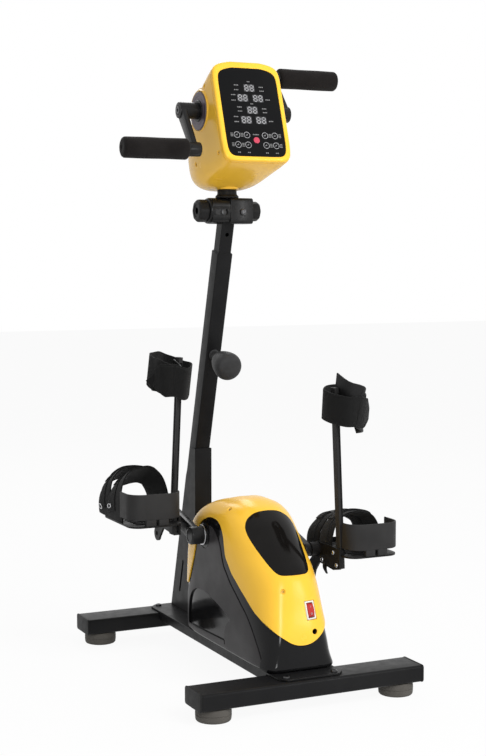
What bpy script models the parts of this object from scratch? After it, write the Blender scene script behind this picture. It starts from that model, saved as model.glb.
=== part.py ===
"""Motorized therapy bike: base, telescopic post, tilting head with hand crank, pedal crank with calf rests.

Metres, +Z up. X runs across the machine, the user sits at -Y and faces +Y. The origin lies on the floor,
midway between the two base tubes and on the machine's plane of symmetry.
"""
import math

import bmesh
import bpy
from mathutils import Matrix, Vector

# Fits
SEAT = 0.0003
TURN = 0.0004

# Base tubes, caps and feet
BASE_WIDTH = 0.430
TUBE_SPACING = 0.556
TUBE_DEPTH = 0.066
TUBE_HEIGHT = 0.030
TUBE_WALL = 0.002
TUBE_CORNER = 0.005
CAP_PLATE = 0.004
CAP_RIM = 0.0006
CAP_PLUG = 0.014
CAP_WALL = 0.0022
FOOT_RADIUS = 0.031
FOOT_HEIGHT = 0.024
FOOT_INSET = 0.038
FOOT_RECESS_RADIUS = 0.009
FOOT_RECESS_DEPTH = 0.008

# Base channel
CHANNEL_WIDTH = 0.125
CHANNEL_SHEET = 0.0035
CHANNEL_DROP = 0.014
CHANNEL_LAP = 0.057
CHANNEL_CORNER = 0.013

# Post
POST_TOP_Y = 0.0736
POST_TOP_Z = 0.780
POST_LEAN = math.radians(15.9)
INNER_POST_SIZE = 0.0255
INNER_POST_WALL = 0.002
OUTER_POST_WALL = 0.00245
INNER_POST_HIDDEN = 0.340
POST_CORNER = 0.003
INDEX_HOLE_RADIUS = 0.0038
INDEX_HOLE_PITCH = 0.050
INDEX_HOLE_FIRST = 0.0374
INDEX_HOLES = 4

# Post bracket
BRACKET_TOP_Z = 0.395
BRACKET_WALL = 0.002
BRACKET_SHORTFALL = 0.005
BRACKET_TOP_REACH = 0.021
BRACKET_TOP_DROP = 0.060
SLIT_LENGTH = 0.070
SLIT_WIDTH = 0.006
SLIT_Y = 0.236
SLIT_Z = 0.128

# Height knob
KNOB_DROP = 0.200
KNOB_SCREW_RADIUS = 0.004
KNOB_STEM_RADIUS = 0.009
KNOB_STEM = 0.024
KNOB_RADIUS = 0.027
KNOB_LENGTH = 0.084

# Tilt block and its clamp knobs
PIVOT_RISE = 0.0800
POST_ABOVE_PIVOT = 0.011
TILT_SWING = math.radians(15.0)
BLOCK_WIDTH = 0.086
BLOCK_DEPTH = 0.050
BLOCK_HEIGHT = 0.048
BLOCK_POCKET_CLEAR = 0.0007
BLOCK_SLOT_WIDTH = 0.026
BLOCK_SLOT_HEIGHT = 0.013
BLOCK_SLOT_CORNER = 0.003
BLOCK_SLOT_DEPTH = 0.005
BLOCK_FACE_REACH = 0.022
BLOCK_FACE_Z = -0.002
BLOCK_SCREW_RADIUS = 0.0075
BLOCK_SCREW_PROUD = 0.002
TILT_STUD_RADIUS = 0.006
TILT_STUD_INNER_X = 0.008
TILT_KNOB_RADIUS = 0.0185
TILT_KNOB_LENGTH = 0.0197
TILT_KNOB_FLUTES = 8
TILT_KNOB_FLUTE_DEPTH = 0.0009

# Neck
NECK_SPIGOT_RADIUS = 0.008
NECK_SPIGOT_DEPTH = 0.004
COLLAR_BASE_RADIUS = 0.022
COLLAR_RADIUS = 0.018
COLLAR_HEIGHT = 0.016
COLLAR_BASE_HEIGHT = 0.004
COLLAR_EDGE = 0.001
COLLAR_STRAIGHT = 0.007
NECK_STUD_RADIUS = 0.010
NECK_STUD_LENGTH = 0.018
SOCKET_RADIUS = 0.0215
SOCKET_HEIGHT = 0.034

# Console
BEZEL_LEAN = math.radians(19.0)
BEZEL_AHEAD = 0.1077
BEZEL_RISE = 0.1541
BEZEL_DEPTH = 0.009
BEZEL_HALF_WIDTH = 0.068
BEZEL_UP = 0.097
BEZEL_DOWN = 0.098
BEZEL_EDGE = 0.0025
PANEL_HALF_WIDTH = 0.058
PANEL_UP = 0.084
PANEL_DOWN = 0.089
PANEL_DEPTH = 0.0055
PANEL_LEDGE = 0.003
CONSOLE_WALL = 0.0028

# Hand crank
HAND_HUB_AHEAD = 0.0317
HAND_HUB_RISE = 0.1561
HAND_PHASE = math.radians(38.1)
HAND_RADIUS = 0.094
HAND_SHAFT_RADIUS = 0.008
HAND_SHAFT_END = 0.100
HUB_PAD_RADIUS = 0.037
HUB_PAD_FACE = 0.0690
HUB_DISC_RADIUS = 0.035
HUB_DISC_THICKNESS = 0.0035
HUB_DISC_EDGE = 0.0015
HUB_DISC_STEP = 0.001
HAND_BOSS_RADIUS = 0.015
HAND_BOSS_END = 0.112
HAND_ARM_WIDTH = 0.018
HAND_ARM_THICKNESS = 0.010
HAND_ARM_X = 0.105
HAND_END_BOSS_RADIUS = 0.013
HAND_END_BOSS_LENGTH = 0.025
GRIP_START = 0.1195
GRIP_LENGTH = 0.1235
GRIP_RADIUS = 0.019
GRIP_SPINDLE_RADIUS = 0.006
GRIP_END_WALL = 0.005

# Hand drive inside the console
GEAR_MODULE = 0.00225
GEAR_TEETH = 24
PINION_TEETH = 8
GEAR_WIDTH = 0.008
GEAR_X = -0.020
GEAR_BACKLASH = 0.0004
GEAR_ADDENDUM = 0.0015
GEAR_DEDENDUM = 0.0024
GEAR_TOOTH_SHARE = 0.36
HAND_MOTOR_RADIUS = 0.017
HAND_MOTOR_LENGTH = 0.050
HAND_MOTOR_BEARING = math.radians(-38.0)
PINION_SHAFT_RADIUS = 0.003
PINION_SHAFT_LENGTH = 0.012
MOTOR_WEB_THICKNESS = 0.004

# Casing
CASING_FLOOR_Z = 0.0590
CASING_WALL = 0.0025
CASING_SPLIT = 0.00015
COVER_WALL = 0.0025
COVER_GAP = 0.0006
PAD_RISE = 0.0012
WINDOW_GAP = 0.0004
WINDOW_HALF_WIDTH = 0.046
WINDOW_MID_Z = 0.258
WINDOW_UP = 0.060
WINDOW_DOWN = 0.037
TONGUE_HALF_WIDTH = 0.034
TONGUE_Z = 0.1030
APRON_Z = 0.1500
RECESS_DEPTH = 0.0014

# Switch and socket hole
SWITCH_X = 0.020
SWITCH_Z = 0.159
SWITCH_YAW = math.radians(13.0)
SWITCH_LEAN = math.radians(-16.0)
SWITCH_FRAME_WIDTH = 0.024
SWITCH_FRAME_HEIGHT = 0.034
SWITCH_FRAME_DEPTH = 0.016
SWITCH_FRAME_PROUD = 0.0035
ROCKER_WIDTH = 0.0136
ROCKER_HEIGHT = 0.0250
SOCKET_HOLE_X = 0.024
SOCKET_HOLE_Z = 0.124
SOCKET_HOLE_RADIUS = 0.005

# Pedal drive
CRANK_Y = -0.004
CRANK_Z = 0.258
CRANK_PHASE = math.radians(14.2)
CRANK_RADIUS = 0.100
CRANK_SHAFT_RADIUS = 0.010
CRANK_SHAFT_END = 0.098
CRANK_BOSS_RADIUS = 0.021
CRANK_BOSS_FACE = 0.0760
CRANK_HUB_RADIUS = 0.0165
CRANK_HUB_END = 0.103
PEDAL_ARM_THICKNESS = 0.014
PEDAL_ARM_X = 0.090
PEDAL_END_RADIUS = 0.0125
PEDAL_AXLE_RADIUS = 0.006
PEDAL_AXLE_END = 0.1165
CRANK_PULLEY_RADIUS = 0.042
MOTOR_PULLEY_RADIUS = 0.016
PULLEY_WIDTH = 0.012
PULLEY_X = -0.050
PULLEY_RIM = 0.0012
BELT_WIDTH = 0.009
BELT_THICKNESS = 0.0022
MOTOR_Y = -0.118
MOTOR_Z = 0.150
MOTOR_RADIUS = 0.038
MOTOR_LENGTH = 0.074
MOTOR_FOOT_WIDTH = 0.052
MOTOR_FOOT_INSET = 0.012
MOTOR_SHAFT_RADIUS = 0.005
MOTOR_SHAFT_LENGTH = 0.015

# Pedals
BRACKET_PLATE_X = 0.1140
BRACKET_PLATE = 0.004
PEDAL_HUB_RADIUS = 0.013
LOBE_Y = 0.025
LOBE_Z = -0.039
LOBE_RADIUS = 0.014
LOBE_HOLE_RADIUS = 0.0045
FOOTPLATE_WIDTH = 0.104
FOOTPLATE_FRONT = 0.045
FOOTPLATE_BACK = 0.113
FOOTPLATE_THICKNESS = 0.0035
FOOTPLATE_TOP = 0.0025
FOOTPLATE_LIP = 0.008
HEEL_BACK = 0.117
HEEL_LOW = 0.0135
HEEL_HEIGHT = 0.0475
HEEL_SHEET = 0.003
HEEL_CORNER = 0.028
HEEL_LUG = 0.020
HEEL_REACH = 0.058
STRAP_THICKNESS = 0.0025
TOE_STRAP_Y = 0.032
TOE_STRAP_WIDTH = 0.026
INSTEP_STRAP_Y = -0.016
INSTEP_STRAP_WIDTH = 0.034
TOE_STRAP_RISE = {"left": 0.086, "right": 0.052}
INSTEP_STRAP_RISE = {"left": 0.092, "right": 0.064}
STRAP_INSET = 0.004
STRAP_SQUARENESS = 2.5

# Calf rests
ROD_Y = -0.070
ROD_PIVOT_Z = -0.010
ROD_LEAN = math.radians(2.5)
ROD_WIDTH = 0.017
ROD_THICKNESS = 0.009
ROD_GROOVE_WIDTH = 0.006
ROD_GROOVE_DEPTH = 0.0035
ROD_BELOW = 0.014
ROD_LENGTH = 0.315
ROD_STANDOFF = 0.0013
CUFF_BELOW_ROD_TOP = 0.034
CUFF_OFFSET = 0.017
CUFF_HALF_X = 0.0345
CUFF_HALF_Y = 0.0365
CUFF_SHEET = 0.0035
CUFF_HEIGHT = 0.076
CUFF_TILT = math.radians(10.0)
CUFF_SLIDER_WALL = 0.003
CUFF_SLIDER_HEIGHT = 0.030
CALF_STRAP_WIDTH = 0.053
CALF_STRAP_THICKNESS = 0.003

# Finishes: colour, roughness and metallic value
BLACK_PAINT = ((0.012, 0.012, 0.013), 0.40, 0.0)
BLACK_STEEL = ((0.020, 0.020, 0.021), 0.35, 0.6)
YELLOW_GLOSS = ((0.86, 0.50, 0.055), 0.22, 0.0)
BLACK_GLOSS = ((0.008, 0.008, 0.009), 0.12, 0.0)
BLACK_MATTE = ((0.018, 0.018, 0.019), 0.60, 0.0)
GREY_MATTE = ((0.045, 0.045, 0.043), 0.65, 0.0)
RUBBER = ((0.060, 0.056, 0.045), 0.80, 0.0)
FOAM = ((0.012, 0.011, 0.011), 0.95, 0.0)
FABRIC = ((0.010, 0.010, 0.010), 0.98, 0.0)
MAUVE_METAL = ((0.25, 0.21, 0.23), 0.35, 0.5)
ALUMINIUM = ((0.60, 0.60, 0.62), 0.35, 1.0)
STEEL = ((0.50, 0.50, 0.51), 0.30, 1.0)
SMOKED = ((0.015, 0.013, 0.012), 0.08, 0.0)
PALE_PLASTIC = ((0.62, 0.60, 0.54), 0.40, 0.0)
RED_PLASTIC = ((0.62, 0.035, 0.020), 0.30, 0.0)


# Places that follow from the sizes
TUBE_BOTTOM_Z = FOOT_HEIGHT + SEAT
TUBE_TOP_Z = TUBE_BOTTOM_Z + TUBE_HEIGHT
TUBE_LENGTH = BASE_WIDTH - 2 * (CAP_PLATE + SEAT)
PLATE_BOTTOM_Z = TUBE_TOP_Z + SEAT
PLATE_TOP_Z = PLATE_BOTTOM_Z + CHANNEL_SHEET
OUTER_POST_BORE = INNER_POST_SIZE + 2 * SEAT
OUTER_POST_SIZE = OUTER_POST_BORE + 2 * OUTER_POST_WALL
LEAN_SIN = math.sin(POST_LEAN)
LEAN_COS = math.cos(POST_LEAN)
GEAR_PITCH_RADIUS = GEAR_MODULE * GEAR_TEETH / 2
PINION_PITCH_RADIUS = GEAR_MODULE * PINION_TEETH / 2
GEAR_DISTANCE = GEAR_PITCH_RADIUS + PINION_PITCH_RADIUS + GEAR_BACKLASH
ROD_X = BRACKET_PLATE_X + BRACKET_PLATE + ROD_STANDOFF + ROD_THICKNESS / 2
FOOTPLATE_X = BRACKET_PLATE_X + BRACKET_PLATE + SEAT


# Points and outlines

def spot(axis, along, first, second):
    """Point given along one axis, with the two other coordinates in their usual order."""
    if axis == "X":
        return Vector((along, first, second))
    if axis == "Y":
        return Vector((first, along, second))
    return Vector((first, second, along))


def arc(centre, radius, start, end, steps):
    """Points on a circle's arc, both ends included; angles in degrees."""
    points = []
    for step in range(steps + 1):
        angle = math.radians(start + (end - start) * step / steps)
        points.append((centre[0] + radius * math.cos(angle), centre[1] + radius * math.sin(angle)))
    return points


def circle(centre, radius, steps=20):
    """Closed circle as an outline."""
    return arc(centre, radius, 0, 360, steps)[:-1]


def rounded_box(width, height, radius, centre=(0, 0), steps=2):
    """Rectangle outline with round corners."""
    outline = []
    across = width / 2 - radius
    up = height / 2 - radius
    for turn, (side, rise) in enumerate(((1, 1), (-1, 1), (-1, -1), (1, -1))):
        corner = (centre[0] + side * across, centre[1] + rise * up)
        outline += arc(corner, radius, 90 * turn, 90 * turn + 90, steps)
    return outline


def power(value, exponent):
    """Signed power, for superellipses."""
    return math.copysign(abs(value) ** exponent, value)


def egg(half_width, up, down, sharp_up, sharp_down, centre=(0, 0), steps=24):
    """Superellipse whose upper and lower halves have their own height and squareness."""
    outline = []
    for step in range(steps):
        angle = 2 * math.pi * (step + 0.5) / steps
        sharp = sharp_up if math.sin(angle) > 0 else sharp_down
        reach = up if math.sin(angle) > 0 else down
        outline.append((centre[0] + half_width * power(math.cos(angle), 2 / sharp),
                        centre[1] + reach * power(math.sin(angle), 2 / sharp)))
    return outline


def wrapped(first, first_radius, second, second_radius, steps=10):
    """Outline of a belt drawn tight round two circles."""
    ahead = math.degrees(math.atan2(second[1] - first[1], second[0] - first[0]))
    apart = math.hypot(second[0] - first[0], second[1] - first[1])
    open_angle = math.degrees(math.acos((first_radius - second_radius) / apart))
    outline = arc(second, second_radius, ahead - open_angle, ahead + open_angle, steps)
    return outline + arc(first, first_radius, ahead + open_angle, ahead + 360 - open_angle, steps)


def band(path, thickness):
    """Closed outline of a strip that follows an open path."""
    left, right = [], []
    for index, (across, up) in enumerate(path):
        before = path[max(index - 1, 0)]
        after = path[min(index + 1, len(path) - 1)]
        run = math.hypot(after[0] - before[0], after[1] - before[1])
        normal = ((before[1] - after[1]) / run, (after[0] - before[0]) / run)
        left.append((across + normal[0] * thickness / 2, up + normal[1] * thickness / 2))
        right.append((across - normal[0] * thickness / 2, up - normal[1] * thickness / 2))
    return left + right[::-1]


# Solids

def prism(outline, axis, start, end):
    """Outline extruded along an axis."""
    shape = bmesh.new()
    face = shape.faces.new([shape.verts.new(spot(axis, start, *point)) for point in outline])
    moved = bmesh.ops.extrude_face_region(shape, geom=[face])["geom"]
    bmesh.ops.translate(shape, vec=spot(axis, end - start, 0, 0),
                        verts=[item for item in moved if isinstance(item, bmesh.types.BMVert)])
    bmesh.ops.recalc_face_normals(shape, faces=shape.faces)
    return shape


def block(low, high):
    """Box between two corners."""
    outline = [(low[0], low[1]), (high[0], low[1]), (high[0], high[1]), (low[0], high[1])]
    return prism(outline, "Z", low[2], high[2])


def rod(axis, centre, radius, start, end, steps=20):
    """Cylinder along an axis."""
    return prism(circle(centre, radius, steps), axis, start, end)


def turned(profile, axis, centre=(0, 0), steps=20):
    """Turned solid; the profile's (radius, along) points start and end on the axis."""
    shape = bmesh.new()
    verts = [shape.verts.new(spot(axis, along, centre[0] + radius, centre[1])) for radius, along in profile]
    edges = [shape.edges.new(pair) for pair in zip(verts, verts[1:])]
    bmesh.ops.spin(shape, geom=verts + edges, axis=spot(axis, 1, 0, 0), cent=spot(axis, 0, *centre),
                   angle=2 * math.pi, steps=steps, use_merge=True)
    bmesh.ops.remove_doubles(shape, verts=shape.verts, dist=1e-6)
    bmesh.ops.recalc_face_normals(shape, faces=shape.faces)
    return shape


def skin(rings):
    """Solid through rings of equally many points, closed by flat ends."""
    shape = bmesh.new()
    loops = [[shape.verts.new(point) for point in ring] for ring in rings]
    for low, high in zip(loops, loops[1:]):
        for index in range(len(low)):
            after = (index + 1) % len(low)
            shape.faces.new((low[index], low[after], high[after], high[index]))
    shape.faces.new(loops[0])
    shape.faces.new(loops[-1])
    bmesh.ops.recalc_face_normals(shape, faces=shape.faces)
    return shape


def combined(solid, tool, operation):
    """Boolean of two closed shapes, which are both used up."""
    holders = []
    for shape in (solid, tool):
        mesh = bpy.data.meshes.new("shape")
        shape.to_mesh(mesh)
        shape.free()
        holder = bpy.data.objects.new("shape", mesh)
        bpy.context.scene.collection.objects.link(holder)
        holders.append(holder)
    boolean = holders[0].modifiers.new("combine", "BOOLEAN")
    boolean.operation = operation
    boolean.solver = "EXACT"
    boolean.object = holders[1]
    result = bmesh.new()
    result.from_object(holders[0], bpy.context.evaluated_depsgraph_get())
    for holder in holders:
        mesh = holder.data
        bpy.data.objects.remove(holder)
        bpy.data.meshes.remove(mesh)
    bmesh.ops.remove_doubles(result, verts=result.verts, dist=1e-6)
    return result


def joined(solid, *tools):
    """Union with each tool."""
    for tool in tools:
        solid = combined(solid, tool, "UNION")
    return solid


def cut(solid, *tools):
    """Solid less each tool."""
    for tool in tools:
        solid = combined(solid, tool, "DIFFERENCE")
    return solid


def common(solid, tool):
    """What both solids hold."""
    return combined(solid, tool, "INTERSECT")


def moved(shape, matrix):
    """Shape moved by a matrix."""
    bmesh.ops.transform(shape, matrix=matrix, verts=shape.verts)
    return shape


def sided(shape, side):
    """Shape drawn for +X, mirrored when the side is the -X one."""
    if side < 0:
        bmesh.ops.scale(shape, vec=(-1, 1, 1), verts=shape.verts)
        bmesh.ops.reverse_faces(shape, faces=shape.faces)
    return shape


# Objects

def pivot(name, at, parent=None, turn=0.0):
    """Empty on a joint's axis; its turn is about X."""
    empty = bpy.data.objects.new(name, None)
    bpy.context.scene.collection.objects.link(empty)
    empty.location = at
    empty.rotation_euler.x = turn
    empty.parent = parent
    return empty


def piece(name, shape, finish, parent=None, at=(0, 0, 0), edge=0.0):
    """Named object from a shape, with its own material and, where asked, a small bevel."""
    mesh = bpy.data.meshes.new(name)
    shape.to_mesh(mesh)
    shape.free()
    mesh.shade_smooth()
    mesh.set_sharp_from_angle(angle=math.radians(35))
    thing = bpy.data.objects.new(name, mesh)
    bpy.context.scene.collection.objects.link(thing)
    thing.location = at
    thing.parent = parent
    colour, roughness, metallic = finish
    material = bpy.data.materials.new(name)
    material.use_nodes = True
    surface = material.node_tree.nodes["Principled BSDF"]
    surface.inputs["Base Color"].default_value = (*colour, 1)
    surface.inputs["Roughness"].default_value = roughness
    surface.inputs["Metallic"].default_value = metallic
    mesh.materials.append(material)
    if edge:
        bevel = thing.modifiers.new("edge", "BEVEL")
        bevel.width = edge
        bevel.segments = 1
        bevel.limit_method = "ANGLE"
        bevel.angle_limit = math.radians(50)
    return thing


# Base

def base():
    """Two cross tubes with caps and feet, and the channel between them."""
    tube_mid_z = TUBE_BOTTOM_Z + TUBE_HEIGHT / 2
    for name, way in (("front", -1), ("rear", 1)):
        middle = (way * TUBE_SPACING / 2, tube_mid_z)
        outer = rounded_box(TUBE_DEPTH, TUBE_HEIGHT, TUBE_CORNER, middle)
        inner = rounded_box(TUBE_DEPTH - 2 * TUBE_WALL, TUBE_HEIGHT - 2 * TUBE_WALL,
                            TUBE_CORNER - TUBE_WALL, middle)
        tube = cut(prism(outer, "X", -TUBE_LENGTH / 2, TUBE_LENGTH / 2),
                   prism(inner, "X", -TUBE_LENGTH, TUBE_LENGTH))
        piece(name + "_tube", tube, BLACK_PAINT)
        for hand, side in (("left", -1), ("right", 1)):
            piece(name + "_cap_" + hand, end_cap(middle, side), BLACK_MATTE)
            foot_x = side * (BASE_WIDTH / 2 - FOOT_INSET)
            piece(name + "_foot_" + hand, foot(), RUBBER, at=(foot_x, middle[0], 0))
    piece("base_channel", base_channel(), BLACK_PAINT)


def end_cap(middle, side):
    """Plug with a plate a little larger than the tube."""
    plate = rounded_box(TUBE_DEPTH + 2 * CAP_RIM, TUBE_HEIGHT + 2 * CAP_RIM, TUBE_CORNER, middle)
    plug_depth = TUBE_DEPTH - 2 * (TUBE_WALL + SEAT)
    plug_height = TUBE_HEIGHT - 2 * (TUBE_WALL + SEAT)
    plug = rounded_box(plug_depth, plug_height, TUBE_CORNER - TUBE_WALL, middle)
    hollow = rounded_box(plug_depth - 2 * CAP_WALL, plug_height - 2 * CAP_WALL, CAP_WALL / 2, middle)
    face = BASE_WIDTH / 2 - CAP_PLATE
    cap = joined(prism(plate, "X", face, BASE_WIDTH / 2),
                 prism(plug, "X", face - CAP_PLUG, face + CAP_PLATE / 2))
    return sided(cut(cap, prism(hollow, "X", face - 2 * CAP_PLUG, face)), side)


def foot():
    """Round rubber foot with a screw recess in its underside."""
    rim = FOOT_RADIUS - 0.004
    profile = [(0, FOOT_RECESS_DEPTH), (FOOT_RECESS_RADIUS, FOOT_RECESS_DEPTH), (FOOT_RECESS_RADIUS, 0),
               (rim, 0), (FOOT_RADIUS - 0.001, 0.004), (FOOT_RADIUS, FOOT_HEIGHT / 2),
               (FOOT_RADIUS - 0.001, FOOT_HEIGHT - 0.004), (rim, FOOT_HEIGHT), (0, FOOT_HEIGHT)]
    return turned(profile, "Z")


def base_channel():
    """Folded sheet that laps on both tubes and hangs down between them."""
    half = CHANNEL_WIDTH / 2
    inner_face = TUBE_SPACING / 2 - TUBE_DEPTH / 2
    end = inner_face + CHANNEL_LAP
    corner = CHANNEL_CORNER
    outline = []
    for side, way in ((1, 1), (-1, 1), (-1, -1), (1, -1)):
        pair = [(side * half, way * (end - corner)), (side * (half - corner), way * end)]
        outline += pair if side * way > 0 else pair[::-1]
    plate = prism(outline, "Z", PLATE_BOTTOM_Z, PLATE_TOP_Z)
    run = inner_face - SEAT
    low = PLATE_BOTTOM_Z - CHANNEL_DROP
    high = PLATE_TOP_Z - CHANNEL_SHEET / 2
    flanges = [block((min(edge, inward), -run, low), (max(edge, inward), run, high))
               for edge, inward in ((half, half - CHANNEL_SHEET), (-half, CHANNEL_SHEET - half))]
    return joined(plate, *flanges)


# Post

def leaning(axis_y, plane_z):
    """Height along the leaning post where it meets a level plane, at a given depth across the post."""
    return (plane_z - POST_TOP_Z - axis_y * LEAN_SIN) / LEAN_COS


def post():
    """Bracket, outer and inner post and the height knob; returns the sliding post's pivot."""
    lean = pivot("post_lean", (0, POST_TOP_Y, POST_TOP_Z), turn=POST_LEAN)
    slide = pivot("post_slide", (0, 0, 0), lean)
    piece("post_bracket", post_bracket(), BLACK_PAINT)

    foot_z = PLATE_TOP_Z + SEAT
    outline = rounded_box(OUTER_POST_SIZE, OUTER_POST_SIZE, POST_CORNER)
    foot_ring = [(x, y, leaning(y, foot_z)) for x, y in outline]
    outer = skin([foot_ring, [(x, y, 0) for x, y in outline]])
    bore = rounded_box(OUTER_POST_BORE, OUTER_POST_BORE, POST_CORNER / 2)
    outer = cut(outer, prism(bore, "Z", -2 * POST_TOP_Z, 0.01))
    face = -OUTER_POST_SIZE / 2
    screw_hole = rod("Y", (0, -KNOB_DROP), KNOB_SCREW_RADIUS + TURN, face - 0.005, 0, steps=14)
    piece("outer_post", cut(outer, screw_hole), BLACK_PAINT, lean)

    top = PIVOT_RISE + POST_ABOVE_PIVOT
    outline = rounded_box(INNER_POST_SIZE, INNER_POST_SIZE, POST_CORNER / 2)
    inner = prism(outline, "Z", -INNER_POST_HIDDEN, top)
    hollow = INNER_POST_SIZE - 2 * INNER_POST_WALL
    inner = cut(inner, prism(rounded_box(hollow, hollow, 0.001), "Z", -1, 1))
    inner = cut(inner, rod("X", (0, PIVOT_RISE), TILT_STUD_RADIUS + TURN, -0.03, 0.03, steps=16))
    for number in range(INDEX_HOLES):
        height = INDEX_HOLE_FIRST - number * INDEX_HOLE_PITCH
        inner = cut(inner, rod("Y", (0, height), INDEX_HOLE_RADIUS, -INNER_POST_SIZE, 0, steps=12))
    piece("inner_post", inner, BLACK_PAINT, slide)

    knob = pivot("height_knob_axis", (0, face, -KNOB_DROP), lean)
    piece("height_knob", height_knob(), BLACK_MATTE, knob)
    return slide


def post_bracket():
    """Folded gusset: a front web and two cheeks that hold the post's foot."""
    half = OUTER_POST_SIZE / 2 / LEAN_COS
    tangent = math.tan(POST_LEAN)
    inside = OUTER_POST_SIZE / 2 + SEAT
    web_inside = POST_TOP_Y + (POST_TOP_Z - BRACKET_TOP_Z) * tangent - half - SEAT
    web_outside = web_inside - BRACKET_WALL
    foot_z = PLATE_TOP_Z + SEAT

    def back(height):
        return POST_TOP_Y + (POST_TOP_Z - height) * tangent + half - BRACKET_SHORTFALL

    shoulder = BRACKET_TOP_Z - BRACKET_TOP_DROP
    cheek = [(web_outside, foot_z), (back(foot_z), foot_z), (back(shoulder), shoulder),
             (web_outside + BRACKET_TOP_REACH, BRACKET_TOP_Z), (web_outside, BRACKET_TOP_Z)]
    solid = prism(cheek, "X", -inside - BRACKET_WALL, inside + BRACKET_WALL)
    room = block((-inside, web_inside, 0), (inside, 1, 1))
    slit = prism(rounded_box(SLIT_WIDTH, SLIT_LENGTH, SLIT_WIDTH / 2 - 0.0002), "X", -0.1, 0.1)
    tilt = Matrix.Rotation(POST_LEAN, 4, "X")
    return cut(solid, room, moved(slit, Matrix.Translation((0, SLIT_Y, SLIT_Z)) @ tilt))


def height_knob():
    """Pear-shaped knob on a screw that passes the outer post's wall; it points along -Y."""
    neck = KNOB_STEM + 0.004
    body = KNOB_LENGTH - neck
    profile = [(0, OUTER_POST_WALL), (KNOB_SCREW_RADIUS, OUTER_POST_WALL), (KNOB_SCREW_RADIUS, -SEAT),
               (KNOB_STEM_RADIUS, -SEAT), (KNOB_STEM_RADIUS, -KNOB_STEM)]
    for step in range(9):
        along = step / 8
        swell = math.sin(math.pi * along ** 1.25) ** 0.75 if 0 < step < 8 else 0
        radius = 0.012 * (1 - along) + (KNOB_RADIUS - 0.0045) * swell
        profile.append((radius, -neck - body * along))
    return turned(profile, "Y", steps=18)


# Tilt block and neck

def tilt(slide):
    """Tilt block, its two clamp knobs and the neck collar; returns the head's swivel pivot."""
    axis = pivot("head_tilt_axis", (0, 0, PIVOT_RISE), slide, -POST_LEAN)
    piece("tilt_block", tilt_block(), BLACK_MATTE, axis)
    for hand, side in (("left", -1), ("right", 1)):
        clamp = pivot("tilt_knob_axis_" + hand, (0, 0, 0), axis)
        piece("tilt_knob_" + hand, sided(tilt_knob(), side), BLACK_MATTE, clamp)
    neck = pivot("neck", (0, 0, BLOCK_HEIGHT / 2), axis)
    profile = [(0, -NECK_SPIGOT_DEPTH), (NECK_SPIGOT_RADIUS, -NECK_SPIGOT_DEPTH),
               (NECK_SPIGOT_RADIUS, SEAT), (COLLAR_BASE_RADIUS, SEAT),
               (COLLAR_BASE_RADIUS - COLLAR_EDGE, COLLAR_BASE_HEIGHT),
               (COLLAR_RADIUS, COLLAR_HEIGHT - COLLAR_STRAIGHT),
               (COLLAR_RADIUS, COLLAR_HEIGHT), (NECK_STUD_RADIUS, COLLAR_HEIGHT),
               (NECK_STUD_RADIUS, COLLAR_HEIGHT + NECK_STUD_LENGTH), (0, COLLAR_HEIGHT + NECK_STUD_LENGTH)]
    piece("neck_collar", turned(profile, "Z"), BLACK_MATTE, neck)
    return pivot("head_swivel_axis", (0, 0, 0), neck)


def tilt_block():
    """Block with a pocket below for the post's top, shaped for the whole swing."""
    half_height = BLOCK_HEIGHT / 2
    solid = block((-BLOCK_WIDTH / 2, -BLOCK_DEPTH / 2, -half_height),
                  (BLOCK_WIDTH / 2, BLOCK_DEPTH / 2, half_height))
    half_post = INNER_POST_SIZE / 2 + BLOCK_POCKET_CLEAR
    reach = math.hypot(half_post, POST_ABOVE_PIVOT + BLOCK_POCKET_CLEAR)
    steepest = POST_LEAN + TILT_SWING
    break_z = (half_post / math.cos(steepest) - reach) / math.tan(steepest)
    low = -half_height - 0.004
    low_y = half_post / math.cos(steepest) - low * math.tan(steepest)
    pocket = [(-reach, reach), (reach, reach), (reach, break_z), (low_y, low), (-reach, low)]
    half_pocket = INNER_POST_SIZE / 2 + SEAT
    solid = cut(solid, prism(pocket, "X", -half_pocket, half_pocket))
    solid = cut(solid, rod("X", (0, 0), TILT_STUD_RADIUS + TURN, -BLOCK_WIDTH, BLOCK_WIDTH, steps=16))
    spigot = rod("Z", (0, 0), NECK_SPIGOT_RADIUS + TURN, half_height - NECK_SPIGOT_DEPTH - SEAT,
                 half_height + 0.01, 16)
    front = -BLOCK_DEPTH / 2
    slot_outline = rounded_box(BLOCK_SLOT_WIDTH, BLOCK_SLOT_HEIGHT, BLOCK_SLOT_CORNER,
                               (-BLOCK_FACE_REACH, BLOCK_FACE_Z))
    slot = prism(slot_outline, "Y", front - 0.01, front + BLOCK_SLOT_DEPTH)
    solid = cut(solid, spigot, slot)
    screw_at = (BLOCK_FACE_REACH, BLOCK_FACE_Z)
    head = rod("Y", screw_at, BLOCK_SCREW_RADIUS, front - BLOCK_SCREW_PROUD, front + 0.004, 14)
    return joined(solid, head)


def tilt_knob():
    """Fluted hand wheel on a stud, drawn for +X."""
    outline = []
    steps = TILT_KNOB_FLUTES * 4
    for step in range(steps):
        angle = 2 * math.pi * step / steps
        dip = TILT_KNOB_FLUTE_DEPTH * (0.5 - 0.5 * math.cos(angle * TILT_KNOB_FLUTES))
        radius = TILT_KNOB_RADIUS - dip
        outline.append((radius * math.cos(angle), radius * math.sin(angle)))
    near = BLOCK_WIDTH / 2 + SEAT
    far = near + TILT_KNOB_LENGTH
    rings = []
    for x, scale in ((near, 0.94), (near + 0.0015, 1.0), (far - 0.003, 1.0), (far, 0.86)):
        rings.append([(x, y * scale, z * scale) for y, z in outline])
    return joined(skin(rings), rod("X", (0, 0), TILT_STUD_RADIUS, TILT_STUD_INNER_X, near + 0.004, 16))


# Console

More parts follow.
